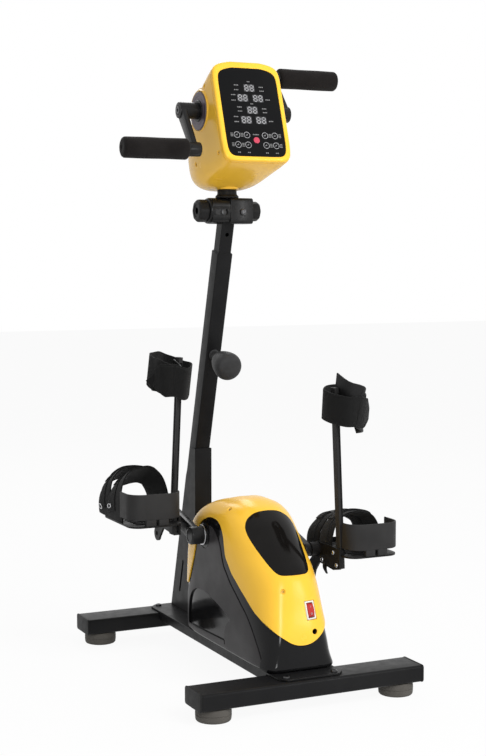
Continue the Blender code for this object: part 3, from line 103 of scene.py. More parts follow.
class Side(Enum):
    """Side of the machine, by its sign along X."""

    LEFT = -1
    RIGHT = 1

    @property
    def hand(self) -> str:
        """The side's word in names."""
        return self.name.lower()


class Weave(Enum):
    """Kinds of cloth surface."""

    WEBBING = "webbing"
    LOOP_PILE = "loop pile"


# Outlines and curves

def arc(centre: Point, radius: float, start: float, end: float, steps: int) -> list[Point]:
    """Points on an arc, both ends included; angles in degrees.

    Args:
        centre: Its centre.
        radius: Its radius.
        start: Angle of the first point.
        end: Angle of the last point.
        steps: Number of steps.

    Returns:
        The points in order.
    """
    points = []
    for step in range(steps + 1):
        angle = math.radians(start + (end - start) * step / steps)
        points.append((centre[0] + radius * math.cos(angle), centre[1] + radius * math.sin(angle)))
    return points


def circle(centre: Point, radius: float, steps: int = 48) -> list[Point]:
    """Closed circle as an outline."""
    return arc(centre, radius, 0, 360, steps)[:-1]


def rounded_box(width: float, height: float, radius: float, centre: Point = (0, 0),
        steps: int = 6) -> list[Point]:
    """Rectangle outline with round corners.

    Args:
        width: Its width.
        height: Its height.
        radius: Radius of its corners.
        centre: Its centre.
        steps: Steps of each corner.

    Returns:
        The outline.
    """
    outline = []
    across = width / 2 - radius
    up = height / 2 - radius
    for turn, (way, rise) in enumerate(((1, 1), (-1, 1), (-1, -1), (1, -1))):
        corner = (centre[0] + way * across, centre[1] + rise * up)
        outline += arc(corner, radius, 90 * turn, 90 * turn + 90, steps)
    return outline


def power(value: float, exponent: float) -> float:
    """Signed power, for superellipses."""
    return math.copysign(abs(value) ** exponent, value)


def egg(half_width: float, up: float, down: float, sharp_up: float, sharp_down: float,
        centre: Point = (0, 0), steps: int = 96) -> list[Point]:
    """Superellipse whose upper and lower halves have their own height and squareness.

    Args:
        half_width: Half of its width.
        up: Its reach upward.
        down: Its reach downward.
        sharp_up: Squareness of the upper half.
        sharp_down: Squareness of the lower half.
        centre: Its centre.
        steps: Number of steps.

    Returns:
        The outline.
    """
    outline = []
    for step in range(steps):
        angle = 2 * math.pi * (step + 0.5) / steps
        sharp = sharp_up if math.sin(angle) > 0 else sharp_down
        reach = up if math.sin(angle) > 0 else down
        outline.append((centre[0] + half_width * power(math.cos(angle), 2 / sharp),
            centre[1] + reach * power(math.sin(angle), 2 / sharp)))
    return outline


def wrapped(first: Point, first_radius: float, second: Point, second_radius: float,
        steps: int = 16) -> list[Point]:
    """Outline drawn tight round two circles.

    Args:
        first: Centre of the first circle.
        first_radius: Radius of the first circle.
        second: Centre of the second circle.
        second_radius: Radius of the second circle.
        steps: Steps of each arc.

    Returns:
        The outline.
    """
    ahead = math.degrees(math.atan2(second[1] - first[1], second[0] - first[0]))
    apart = math.hypot(second[0] - first[0], second[1] - first[1])
    open_angle = math.degrees(math.acos((first_radius - second_radius) / apart))
    outline = arc(second, second_radius, ahead - open_angle, ahead + open_angle, steps)
    return outline + arc(first, first_radius, ahead + open_angle, ahead + 360 - open_angle, steps)


def between(rows: Sequence[Sequence[float]], steps: int) -> list[tuple[float, ...]]:
    """Rows of numbers with smooth rows set between them; the given rows stay.

    Args:
        rows: Rows of equally many numbers, in order.
        steps: Rows made for each gap.

    Returns:
        The longer list of rows.
    """
    made = []
    for index in range(len(rows) - 1):
        before = rows[max(index - 1, 0)]
        start, end = rows[index], rows[index + 1]
        after = rows[min(index + 2, len(rows) - 1)]
        for step in range(steps):
            t = step / steps
            made.append(tuple(0.5 * (2 * b + (c - a) * t + (2 * a - 5 * b + 4 * c - d) * t * t
                + (3 * b - a - 3 * c + d) * t ** 3) for a, b, c, d in zip(before, start, end, after)))
    return made + [tuple(rows[-1])]


# Mesh work

def linked(name: str, data: bpy.types.ID) -> bpy.types.Object:
    """New object of some data, in the scene.

    Args:
        name: The object's name.
        data: What it shows.

    Returns:
        The object.
    """
    thing = bpy.data.objects.new(name, data)
    bpy.context.scene.collection.objects.link(thing)
    return thing


class Form:
    """Mesh that is shaped with bmesh operators, in metres."""

    def __init__(self, mesh: Optional[bmesh.types.BMesh] = None) -> None:
        """Start empty, or from a mesh that is taken over."""
        self.mesh = mesh or bmesh.new()

    @classmethod
    def turned(cls, profile: Sequence[Point], axis: Axis = Axis.Z, centre: Point = (0, 0), steps: int = 56,
            ring: bool = False) -> Form:
        """Spin a profile about an axis.

        Args:
            profile: Points of (radius, along); they start and end on the axis, or make a ring.
            axis: Axis of the turned form.
            centre: Where that axis lies.
            steps: Steps of the full turn.
            ring: Whether the profile closes on itself.

        Returns:
            The closed form.
        """
        form = cls()
        corners = [form.mesh.verts.new(axis.at(along, centre[0] + radius, centre[1]))
            for radius, along in profile]
        if ring:
            corners.append(corners[0])
        edges = [form.mesh.edges.new(pair) for pair in zip(corners, corners[1:])]
        bmesh.ops.spin(form.mesh, geom=list(form.mesh.verts) + edges, axis=axis.at(1, 0, 0),
            cent=axis.at(0, *centre), angle=2 * math.pi, steps=steps, use_merge=True)
        return form.healed()

    @classmethod
    def plate(cls, outline: Sequence[Point], axis: Axis, low: float, high: float) -> Form:
        """Outline extruded along an axis from low to high.

        Args:
            outline: Points of the closed outline.
            axis: Axis of the thickness.
            low: Lower face along the axis.
            high: Upper face along the axis.

        Returns:
            The plate.
        """
        form = cls()
        face = form.mesh.faces.new([form.mesh.verts.new(axis.at(low, *point)) for point in outline])
        moved = bmesh.ops.extrude_face_region(form.mesh, geom=[face])["geom"]
        bmesh.ops.translate(form.mesh, vec=axis.at(high - low, 0, 0),
            verts=[item for item in moved if isinstance(item, bmesh.types.BMVert)])
        bmesh.ops.recalc_face_normals(form.mesh, faces=form.mesh.faces)
        return form

    @classmethod
    def lofted(cls, rings: Sequence[Loop], ring: bool = False) -> Form:
        """Bridge loops of points; the ends are closed with faces, or with each other when it is a ring.

        Args:
            rings: Loops of equally many points.
            ring: Whether the last meets the first.

        Returns:
            The closed form.
        """
        form = cls()
        loops = []
        for points in rings:
            corners = [form.mesh.verts.new(point) for point in points]
            loops.append([form.mesh.edges.new((corners[i - 1], corners[i])) for i in range(len(corners))])
        pairs = list(zip(loops, loops[1:]))
        if ring:
            pairs.append((loops[-1], loops[0]))
        for first, second in pairs:
            bmesh.ops.bridge_loops(form.mesh, edges=first + second)
        if not ring:
            bmesh.ops.contextual_create(form.mesh, geom=loops[0])
            bmesh.ops.contextual_create(form.mesh, geom=loops[-1])
        bmesh.ops.recalc_face_normals(form.mesh, faces=form.mesh.faces)
        return form

    @classmethod
    def swept(cls, section: Sequence[Vector], stations: Sequence[Matrix],
            closed_section: bool = True) -> Form:
        """Carry a cross-section along stations; its UV is (across, along) in metres.

        Args:
            section: Points of the cross-section.
            stations: Where the section stands, in order.
            closed_section: Whether the section is a loop; its ends are then closed too.

        Returns:
            The swept form.
        """
        form = cls()
        places: dict[bmesh.types.BMVert, Point] = {}
        across = [0.0]
        for before, after in zip(section, section[1:]):
            across.append(across[-1] + (after - before).length)
        corners = [form.mesh.verts.new(stations[0] @ point) for point in section]
        pairs = list(zip(corners, corners[1:]))
        if closed_section:
            pairs.append((corners[-1], corners[0]))
        edges = [form.mesh.edges.new(pair) for pair in pairs]
        first = list(edges)
        along = 0.0
        for vert, place in zip(corners, across):
            places[vert] = (place, along)
        rank = {vert: index for index, vert in enumerate(corners)}
        for before, station in zip(stations, stations[1:]):
            along += (station.translation - before.translation).length
            made = bmesh.ops.extrude_edge_only(form.mesh, edges=edges)["geom"]
            verts = [item for item in made if isinstance(item, bmesh.types.BMVert)]
            bmesh.ops.transform(form.mesh, matrix=station @ before.inverted(), verts=verts)
            fresh = set(verts)
            following = {}
            for vert in verts:
                old = next(edge.other_vert(vert) for edge in vert.link_edges
                    if edge.other_vert(vert) in rank)
                following[vert] = rank[old]
                places[vert] = (across[rank[old]], along)
            rank = following
            edges = [item for item in made if isinstance(item, bmesh.types.BMEdge)
                and set(item.verts) <= fresh]
        if closed_section:
            bmesh.ops.contextual_create(form.mesh, geom=first)
            bmesh.ops.contextual_create(form.mesh, geom=edges)
        layer = form.mesh.loops.layers.uv.new("cloth")
        for face in form.mesh.faces:
            for corner in face.loops:
                corner[layer].uv = places[corner.vert]
        bmesh.ops.recalc_face_normals(form.mesh, faces=form.mesh.faces)
        return form

    def healed(self) -> Form:
        """Merge doubles and turn all faces outward.

        Returns:
            This form.
        """
        bmesh.ops.remove_doubles(self.mesh, verts=self.mesh.verts, dist=MERGE)
        bmesh.ops.recalc_face_normals(self.mesh, faces=self.mesh.faces)
        return self

    def moved(self, matrix: Matrix) -> Form:
        """Place the form with a matrix."""
        bmesh.ops.transform(self.mesh, matrix=matrix, verts=self.mesh.verts)
        return self

    def shaped(self, rule: Callable[[Vector], Vector]) -> Form:
        """Move every vertex by a rule.

        Args:
            rule: Gives a vertex's new place for its old one.

        Returns:
            This form.
        """
        for vertex in self.mesh.verts:
            vertex.co = rule(vertex.co.copy())
        return self

    def sided(self, side: Side) -> Form:
        """Mirror a form drawn for +X when the side is the -X one.

        Args:
            side: The side.

        Returns:
            This form.
        """
        if side is Side.LEFT:
            bmesh.ops.scale(self.mesh, vec=(-1, 1, 1), verts=self.mesh.verts)
            bmesh.ops.reverse_faces(self.mesh, faces=self.mesh.faces)
        return self

    def eased(self, width: float, segments: int = 2, sharper_than: float = 30.0) -> Form:
        """Round the edges that are sharper than an angle in degrees.

        Args:
            width: Width of the rounding.
            segments: Faces across it.
            sharper_than: Smallest angle that is rounded.

        Returns:
            This form.
        """
        sharp = [edge for edge in self.mesh.edges if len(edge.link_faces) == 2
            and edge.calc_face_angle(0.0) > math.radians(sharper_than)]
        bmesh.ops.bevel(self.mesh, geom=sharp, offset=width, offset_type="OFFSET", segments=segments,
            profile=0.5, affect="EDGES", clamp_overlap=True, material=-1)
        return self

    def add(self, other: Form) -> Form:
        """Take in another form's mesh as a further shell, and free it.

        Args:
            other: The form that is used up.

        Returns:
            This form.
        """
        holder = bpy.data.meshes.new("part")
        other.mesh.to_mesh(holder)
        other.mesh.free()
        self.mesh.from_mesh(holder)
        bpy.data.meshes.remove(holder)
        return self

    def _combined(self, tool: Form, operation: str) -> Form:
        """Boolean with a closed form, which is used up.

        Args:
            tool: The closed form.
            operation: Name of the Boolean.

        Returns:
            This form.
        """
        holders = []
        for form in (self, tool):
            mesh = bpy.data.meshes.new("part")
            form.mesh.to_mesh(mesh)
            form.mesh.free()
            holders.append(linked("part", mesh))
        boolean = holders[0].modifiers.new("combine", "BOOLEAN")
        boolean.operation = operation
        boolean.solver = "EXACT"
        boolean.object = holders[1]
        self.mesh = bmesh.new()
        self.mesh.from_object(holders[0], bpy.context.evaluated_depsgraph_get())
        for holder in holders:
            mesh = holder.data
            bpy.data.objects.remove(holder)
            bpy.data.meshes.remove(mesh)
        bmesh.ops.remove_doubles(self.mesh, verts=self.mesh.verts, dist=MERGE)
        return self

    def cut(self, *tools: Form) -> Form:
        """Take each closed form away.

        Args:
            tools: The closed forms, used up.

        Returns:
            This form.
        """
        for tool in tools:
            self._combined(tool, "DIFFERENCE")
        return self

    def joined(self, tool: Form) -> Form:
        """Unite with a closed form."""
        return self._combined(tool, "UNION")

    def kept_in(self, tool: Form) -> Form:
        """Keep what lies inside a closed form."""
        return self._combined(tool, "INTERSECT")

    def copy(self) -> Form:
        """A second form with the same mesh."""
        return Form(self.mesh.copy())

    def piece(self, name: str, finish: Finish, body: str, stands_for: Sequence[str] = (),
            crease: float = 32.0, place: Optional[Matrix] = None) -> bpy.types.Object:
        """Make the finished piece.

        Args:
            name: The piece's name.
            finish: Its finish.
            body: Body that it rides on.
            stands_for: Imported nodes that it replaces.
            crease: Angle in degrees above which an edge stays sharp.
            place: Where the form is put first.

        Returns:
            The object, at the origin.
        """
        if place is not None:
            self.moved(place)
        mesh = bpy.data.meshes.new(name)
        self.mesh.to_mesh(mesh)
        self.mesh.free()
        mesh.shade_smooth()
        mesh.set_sharp_from_angle(angle=math.radians(crease))
        thing = linked(name, mesh)
        mesh.materials.append(finish.material())
        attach(thing, body)
        if stands_for:
            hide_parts(*stands_for)
        LOG.info("%s on %s, %d faces", name, body, len(mesh.polygons))
        return thing


# Finishes

class Shader:
    """Principled material under construction."""

    def __init__(self, name: str) -> None:
        """Start a material with its Principled surface.

        Args:
            name: The material's name.
        """
        self.material = bpy.data.materials.new(name)
        self.material.use_nodes = True
        self.tree = self.material.node_tree
        self.surface = self.tree.nodes["Principled BSDF"]
        self.coords = self.tree.nodes.new("ShaderNodeTexCoord")

    def set(self, **values: float | Colour) -> Shader:
        """Set sockets of the surface; underscores stand for blanks.

        Args:
            values: Value of each socket.

        Returns:
            This shader.
        """
        for name, value in values.items():
            socket = self.surface.inputs[name.replace("_", " ")]
            socket.default_value = (*value, 1.0) if isinstance(value, tuple) and len(value) == 3 else value
        return self

    def node(self, kind: str, **inputs: object) -> bpy.types.Node:
        """Add a node; inputs that are sockets are linked, and the others are set.

        Args:
            kind: Type of the node.
            inputs: Sockets by name, or as i0, i1 by number.

        Returns:
            The node.
        """
        made = self.tree.nodes.new(kind)
        for name, value in inputs.items():
            socket = made.inputs[int(name[1:]) if name[1:].isdigit() else name]
            if isinstance(value, Socket):
                self.tree.links.new(value, socket)
            else:
                socket.default_value = value
        return made

    def math(self, operation: str, *values: object) -> Socket:
        """Result of a Math node.

        Args:
            operation: Name of the operation.
            values: Numbers or sockets.

        Returns:
            The result.
        """
        made = self.node("ShaderNodeMath", **{f"i{index}": value for index, value in enumerate(values)})
        made.operation = operation
        return made.outputs[0]

    def noise(self, scale: float, detail: float = 3.0, stretch: Sequence[float] = (1, 1, 1)) -> Socket:
        """Noise value in the object's space, with features of about 1 / scale metres."""
        place = self.node("ShaderNodeMapping", Vector=self.coords.outputs["Object"], Scale=stretch)
        return self.node("ShaderNodeTexNoise", Vector=place.outputs[0], Scale=scale,
            Detail=detail).outputs[0]

    def cells(self, scale: float) -> Socket:
        """Distance to the nearest cell centre."""
        return self.node("ShaderNodeTexVoronoi", Vector=self.coords.outputs["Object"],
            Scale=scale).outputs[0]

    def ramp(self, value: Socket, low: float, high: float, to_low: float = 0.0,
            to_high: float = 1.0) -> Socket:
        """Map a value's range to another, clamped.

        Args:
            value: The value.
            low: Start of its range.
            high: End of its range.
            to_low: What the start becomes.
            to_high: What the end becomes.

        Returns:
            The mapped value.
        """
        made = self.node("ShaderNodeMapRange", Value=value)
        for name, number in (("From Min", low), ("From Max", high), ("To Min", to_low),
                ("To Max", to_high)):
            made.inputs[name].default_value = number
        return made.outputs[0]

    def blend(self, factor: Socket, first: object, second: object) -> Socket:
        """Colour mix of two colours or sockets.

        Args:
            factor: Share of the second.
            first: First colour.
            second: Second colour.

        Returns:
            The mixed colour.
        """
        made = self.tree.nodes.new("ShaderNodeMix")
        made.data_type = "RGBA"
        self.tree.links.new(factor, made.inputs["Factor"])
        for socket, value in ((made.inputs[6], first), (made.inputs[7], second)):
            if isinstance(value, Socket):
                self.tree.links.new(value, socket)
            else:
                socket.default_value = (*value, 1.0)
        return made.outputs[2]

    def link(self, value: Socket, socket: str) -> Shader:
        """Feed one of the surface's sockets."""
        self.tree.links.new(value, self.surface.inputs[socket])
        return self

    def bumped(self, height: Socket, strength: float, depth: float) -> Shader:
        """Relief of a depth in metres, laid over any relief that is there.

        Args:
            height: Height between 0 and 1.
            strength: Strength of the relief.
            depth: Its depth.

        Returns:
            This shader.
        """
        bump = self.node("ShaderNodeBump", Height=height, Strength=strength, Distance=depth)
        if self.surface.inputs["Normal"].links:
            self.tree.links.new(self.surface.inputs["Normal"].links[0].from_socket, bump.inputs["Normal"])
        self.tree.links.new(bump.outputs[0], self.surface.inputs["Normal"])
        return self


@dataclass(frozen=True)
class Finish:
    """Plain finish: a colour that drifts a little, a roughness range and a fine relief."""

    name: str
    slot: str
    colour: Colour
    drift: Colour
    rough_low: float = 0.3
    rough_high: float = 0.4
    metal: float = 0.0
    grain: float = 900.0
    grain_depth: float = 0.0
    blotch: float = 14.0
    sheen: float = 0.0
    shine: float = 0.5

    def material(self) -> bpy.types.Material:
        """The finish's material, made once."""
        found = bpy.data.materials.get(self.name)
        return found or self._made()

    def _made(self) -> bpy.types.Material:
        """Build the material.

        Returns:
            The material.
        """
        shader = Shader(self.name)
        shader.set(Metallic=self.metal, Sheen_Weight=self.sheen, Specular_IOR_Level=self.shine)
        patches = shader.noise(self.blotch, 5.0)
        shader.link(shader.blend(shader.ramp(patches, 0.35, 0.65), self.colour, self.drift), "Base Color")
        smear = shader.noise(self.blotch * 4, 4.0)
        shader.link(shader.ramp(smear, 0.3, 0.7, self.rough_low, self.rough_high), "Roughness")
        self._relief(shader)
        return shader.material

    def _relief(self, shader: Shader) -> None:
        """Fine relief of the surface."""
        if self.grain_depth:
            shader.bumped(shader.noise(self.grain, 2.0), 0.6, self.grain_depth)


@dataclass(frozen=True)
class Paint(Finish):
    """Powder coat on steel: orange peel, a little dust on top and rubbed patches."""

    dust: Colour = (0.02, 0.0195, 0.0185)

    def _made(self) -> bpy.types.Material:
        """Build the material.

        Returns:
            The material.
        """
        shader = Shader(self.name)
        shader.set(Specular_IOR_Level=self.shine)
        patches = shader.ramp(shader.noise(self.blotch, 6.0), 0.35, 0.7)
        base = shader.blend(patches, self.colour, self.drift)
        up = shader.node("ShaderNodeNewGeometry").outputs["Normal"]
        level = shader.node("ShaderNodeSeparateXYZ", Vector=up).outputs[2]
        specks = shader.ramp(shader.noise(420.0, 6.0), 0.52, 0.8, 0.0, 0.5)
        dusty = shader.math("MULTIPLY", shader.ramp(level, 0.75, 1.0), specks)
        shader.link(shader.blend(dusty, base, self.dust), "Base Color")
        shader.link(shader.ramp(shader.noise(55.0, 5.0), 0.3, 0.7, self.rough_low, self.rough_high),
            "Roughness")
        shader.bumped(shader.noise(self.grain, 2.0), 0.5, self.grain_depth)
        shader.bumped(shader.noise(260.0, 2.0), 0.3, self.grain_depth * 2)
        return shader.material


@dataclass(frozen=True)
class Foam(Finish):
    """Closed-cell foam sleeve."""

    def _relief(self, shader: Shader) -> None:
        """Cells with a soft skin."""
        shader.bumped(shader.cells(self.grain), 0.7, self.grain_depth)
        shader.bumped(shader.noise(160.0, 3.0), 0.5, self.grain_depth * 3)


@dataclass(frozen=True)
class Brushed(Finish):
    """Turned or brushed metal, with fine rings about the X axis."""

    def _relief(self, shader: Shader) -> None:
        """Fine turned marks."""
        shader.bumped(shader.noise(self.grain, 2.0, stretch=(1, 0.08, 0.08)), 0.5, self.grain_depth)


@dataclass(frozen=True)
class Cloth(Finish):
    """Woven or looped cloth, read from the piece's own UV in metres across and along."""

    weave: Weave = Weave.WEBBING
    pitch: float = 0.0014
    stitch: Colour = (0.05, 0.05, 0.05)
    half_width: float = 0.0
    seam: float = 0.0025

    def _made(self) -> bpy.types.Material:
        """Build the material.

        Returns:
            The material.
        """
        shader = Shader(self.name)
        shader.set(Roughness=0.9, Sheen_Weight=self.sheen, Sheen_Roughness=0.5,
            Specular_IOR_Level=self.shine)
        uv = shader.node("ShaderNodeSeparateXYZ", Vector=shader.coords.outputs["UV"])
        across, along = uv.outputs[0], uv.outputs[1]
        if self.weave is Weave.WEBBING:
            height = self._ribs(shader, across, along)
        else:
            height = self._pile(shader)
        fuzz = shader.ramp(shader.noise(700.0, 4.0), 0.3, 0.7)
        base = shader.blend(fuzz, self.colour, self.drift)
        # Painted shade: the weave's low places are darkened towards near black, on top of their bump relief
        painted_weave_shade = shader.ramp(height, 0.0, 1.0, 0.45, 1.0)
        dark = shader.blend(painted_weave_shade, (0.003, 0.003, 0.003), base)
        if self.half_width:
            thread = self._thread(shader, across, along)
            dark = shader.blend(thread, dark, self.stitch)
            height = shader.math("ADD", height, thread)
        shader.link(dark, "Base Color")
        shader.bumped(height, 0.8, self.grain_depth)
        return shader.material

    def _ribs(self, shader: Shader, across: Socket, along: Socket) -> Socket:
        """Over-and-under ribs of a narrow webbing.

        Args:
            shader: Material under construction.
            across: Place across the band.
            along: Place along the band.

        Returns:
            Height of the ribs.
        """
        turn = 2 * math.pi / self.pitch
        warp = shader.math("SINE", shader.math("MULTIPLY", across, turn))
        weft = shader.math("SINE", shader.math("MULTIPLY", along, turn * 0.5))
        crossed = shader.math("MULTIPLY", warp, weft)
        fine = shader.math("ABSOLUTE", crossed)
        return shader.ramp(fine, 0.0, 0.8)

    def _pile(self, shader: Shader) -> Socket:
        """Short loops in no order."""
        return shader.ramp(shader.cells(1 / self.pitch), 0.0, 0.6, 1.0, 0.0)

    def _thread(self, shader: Shader, across: Socket, along: Socket) -> Socket:
        """Mask of a dashed seam near both edges.

        Args:
            shader: Material under construction.
            across: Place across the band.
            along: Place along the band.

        Returns:
            One on a stitch, and zero beside it.
        """
        rows = []
        for place in (self.seam, 2 * self.half_width - self.seam):
            off = shader.math("ABSOLUTE", shader.math("SUBTRACT", across, place))
            rows.append(shader.math("LESS_THAN", off, 0.00035))
        either = shader.math("MAXIMUM", *rows)
        dash = shader.math("LESS_THAN", shader.math("FRACT", shader.math("MULTIPLY", along, 1 / 0.0032)),
            0.68)
        return shader.math("MULTIPLY", either, dash)


BLACK_PAINT = Paint("black_powder_coat", "black_paint", (0.0062, 0.0062, 0.0066), (0.01, 0.01, 0.0104),
    0.32, 0.44, grain=1500.0, grain_depth=0.00004, blotch=9.0, shine=0.12)
BLACK_STEEL = Paint("black_pressed_steel", "black_steel", (0.008, 0.0078, 0.0078), (0.0125, 0.012, 0.012),
    0.34, 0.48, grain=1200.0, grain_depth=0.00004, blotch=12.0, shine=0.13)
YELLOW = Finish("yellow_moulding", "yellow_gloss", (0.86, 0.5, 0.042), (0.82, 0.465, 0.036), 0.21, 0.28,
    grain=240.0, grain_depth=0.00003, blotch=7.0, shine=0.3)
GLOSS_BLACK = Finish("black_gloss_moulding", "black_gloss", (0.0045, 0.0045, 0.005),
    (0.0065, 0.0065, 0.007), 0.08, 0.14, grain=220.0, grain_depth=0.00003, blotch=9.0, shine=0.17)
MATT_BLACK = Finish("black_matt_moulding", "black_matte", (0.007, 0.007, 0.0072), (0.011, 0.011, 0.0112),
    0.42, 0.55, grain=2200.0, grain_depth=0.00006, blotch=20.0, shine=0.16)
SATIN_BLACK = Finish("black_satin_casting", "black_matte", (0.0062, 0.0062, 0.0065),
    (0.0095, 0.0095, 0.0098), 0.24, 0.34, grain=1400.0, grain_depth=0.00004, blotch=20.0, shine=0.2)
PANEL_GREY = Finish("grey_side_panel", "black_gloss", (0.0165, 0.0148, 0.0157), (0.021, 0.019, 0.02), 0.36,
    0.46, grain=2600.0, grain_depth=0.00005, blotch=8.0, shine=0.2)
DARK_GREY = Finish("grey_rubberised_plastic", "grey_matte", (0.0165, 0.016, 0.016), (0.023, 0.0225, 0.0225),
    0.5, 0.62, grain=1700.0, grain_depth=0.00008, blotch=20.0, shine=0.18)
KNOB_GREY = Finish("grey_knob_rubber", "black_matte", (0.02, 0.02, 0.0205), (0.027, 0.027, 0.0275), 0.5,
    0.62, grain=420.0, grain_depth=0.00025, blotch=60.0, shine=0.25)
RUBBER = Finish("warm_grey_rubber", "foot_rubber", (0.066, 0.061, 0.054), (0.086, 0.08, 0.071), 0.62, 0.8,
    grain=1500.0, grain_depth=0.00012, blotch=30.0, shine=0.3)
FOAM = Foam("black_foam", "foam", (0.0075, 0.0064, 0.0062), (0.0125, 0.011, 0.0105), 0.82, 0.95,
    grain=1600.0, grain_depth=0.00018, blotch=25.0, sheen=0.06, shine=0.1)
MAUVE = Brushed("mauve_turned_metal", "mauve_metal", (0.088, 0.07, 0.086), (0.108, 0.087, 0.105), 0.3, 0.4,
    metal=0.35, grain=4200.0, grain_depth=0.00002, blotch=16.0, shine=0.25)
STEEL = Brushed("turned_steel", "steel", (0.52, 0.52, 0.53), (0.46, 0.46, 0.47), 0.2, 0.32, metal=1.0,
    grain=3800.0, grain_depth=0.00002, blotch=20.0)
DARK_STEEL = Brushed("blackened_steel", "steel", (0.085, 0.085, 0.088), (0.06, 0.06, 0.062), 0.28, 0.4,
    metal=1.0, grain=3800.0, grain_depth=0.00002, blotch=60.0)
ZINC = Brushed("yellow_zinc_screw", "steel", (0.42, 0.24, 0.055), (0.34, 0.19, 0.045), 0.3, 0.42, metal=1.0,
    grain=3800.0, grain_depth=0.00002, blotch=60.0)
CAST = Finish("cast_aluminium", "motor_metal", (0.48, 0.48, 0.5), (0.42, 0.42, 0.44), 0.35, 0.5, metal=1.0,
    grain=1800.0, grain_depth=0.00008, blotch=20.0)
SMOKED = Finish("smoked_window", "smoked", (0.0048, 0.0042, 0.0038), (0.0085, 0.0076, 0.007), 0.06, 0.12,
    grain=200.0, grain_depth=0.00001, blotch=10.0, shine=0.13)
GLASS = Finish("display_cover", "black_gloss", (0.005, 0.0052, 0.0056), (0.007, 0.0072, 0.0076), 0.05, 0.09,
    grain=200.0, grain_depth=0.00001, blotch=10.0, shine=0.06)
PALE = Finish("pale_switch_plastic", "pale_plastic", (0.7, 0.68, 0.63), (0.64, 0.62, 0.57), 0.3, 0.4,
    grain=1500.0, grain_depth=0.00003, blotch=40.0, shine=0.4)
RED = Finish("red_rocker", "red_plastic", (0.4, 0.022, 0.018), (0.34, 0.018, 0.015), 0.18, 0.26,
    grain=900.0, grain_depth=0.00002, blotch=60.0, shine=0.35)
PINK_KEY = Finish("pink_red_key", "red_plastic", (0.5, 0.06, 0.1), (0.43, 0.05, 0.088), 0.3, 0.4,
    grain=1500.0, grain_depth=0.00002, blotch=80.0, shine=0.2)
INK_GREY = Finish("printed_grey", "", (0.2, 0.2, 0.2), (0.15, 0.15, 0.15), 0.45, 0.55, blotch=120.0,
    shine=0.1)
INK_WHITE = Finish("printed_white", "", (0.42, 0.42, 0.43), (0.34, 0.34, 0.35), 0.45, 0.55, blotch=120.0,
    shine=0.1)
DIGIT = Finish("unlit_digit", "", (0.3, 0.3, 0.31), (0.24, 0.24, 0.25), 0.35, 0.45, blotch=120.0, shine=0.1)
DIGIT_WINDOW = Finish("digit_window", "", (0.036, 0.036, 0.037), (0.044, 0.044, 0.045), 0.25, 0.35,
    blotch=120.0, shine=0.1)
LINING = Cloth("looped_lining", "fabric", (0.0065, 0.0065, 0.0065), (0.011, 0.011, 0.011), sheen=0.1,
    grain_depth=0.0005, shine=0.05, weave=Weave.LOOP_PILE, pitch=0.0012)
# Black socket body whose colour is pushed near black as painted shade inside the small hole
HOLE_PAINTED_SHADE = Finish("hole_painted_shade", "black_matte", (0.002, 0.002, 0.002), (0.003, 0.003, 0.003), 0.7, 0.85,
    grain=900.0, grain_depth=0.00003, blotch=40.0, shine=0.1)


def webbing(name: str, width: float) -> Cloth:
    """Black webbing finish for a strap of a width."""
    return Cloth(name, "fabric", (0.0072, 0.0072, 0.0072), (0.012, 0.012, 0.012), sheen=0.08,
        grain_depth=0.00035, shine=0.06, stitch=(0.022, 0.022, 0.022), half_width=width / 2)


# Shared places

def turn(angle: float, axis: Axis) -> Matrix:
    """Rotation by an angle in degrees."""
    return Matrix.Rotation(math.radians(angle), 4, axis.value)


def shift(x: float, y: float, z: float) -> Matrix:
    """Translation."""
    return Matrix.Translation((x, y, z))


@dataclass(frozen=True)
class Places:
    """Frames of the machine's sub-assemblies."""

    post_top: Spot = (0.0, 0.0736, 0.78)
    post_lean: float = 15.9
    pivot_rise: float = 0.08
    neck_rise: float = 0.024
    bezel: Spot = (0.0, -0.1077, 0.1541)
    bezel_lean: float = -19.0
    hub: Spot = (0.0, -0.0317, 0.1561)
    hand_phase: float = -38.1
    crank: Spot = (0.0, -0.004, 0.258)
    crank_phase: float = 14.2
    crank_radius: float = 0.1

    def post(self) -> Matrix:
        """Leaning post: its top at the origin and Z along it."""
        return shift(*self.post_top) @ turn(self.post_lean, Axis.X)

    def tilt(self) -> Matrix:
        """Tilt axis, upright."""
        return self.post() @ shift(0, 0, self.pivot_rise) @ turn(-self.post_lean, Axis.X)

    def neck(self) -> Matrix:
        """Top of the tilt block."""
        return self.tilt() @ shift(0, 0, self.neck_rise)

    def panel(self) -> Matrix:
        """Bezel's face: Y into the head and Z up the face."""
        return self.neck() @ shift(*self.bezel) @ turn(self.bezel_lean, Axis.X)

    def hand_hub(self) -> Matrix:
        """Hand crank's axis, upright."""
        return self.neck() @ shift(*self.hub)

    def hand_crank(self) -> Matrix:
        """Hand crank: its arms along Z."""
        return self.hand_hub() @ turn(self.hand_phase, Axis.X)

    def pedal_crank(self) -> Matrix:
        """Pedal crank: its arms along Y."""
        return shift(*self.crank) @ turn(self.crank_phase, Axis.X)

    def pedal(self, side: Side) -> Matrix:
        """A pedal's axle, level; the left one is ahead."""
        return (self.pedal_crank() @ shift(0, -side.value * self.crank_radius, 0)
            @ turn(-self.crank_phase, Axis.X))


PLACES = Places()


def dressed(node: str, finish: Finish, edge: float = 0.0) -> None:
    """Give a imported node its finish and, where asked, eased edges.

    Args:
        node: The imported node.
        finish: Its finish.
        edge: Width of the eased edges.
    """
    thing = bpy.data.objects[node]
    thing.data.materials.clear()
    thing.data.materials.append(finish.material())
    if edge:
        weld = thing.modifiers.new("weld", "WELD")
        weld.merge_threshold = 0.00001
        bevel = thing.modifiers.new("ease", "BEVEL")
        bevel.width = edge
        bevel.segments = 2
        bevel.limit_method = "ANGLE"
        bevel.angle_limit = math.radians(40)
        bevel.use_clamp_overlap = True
        bevel.harden_normals = False
    LOG.info("%s dressed in %s", node, finish.name)


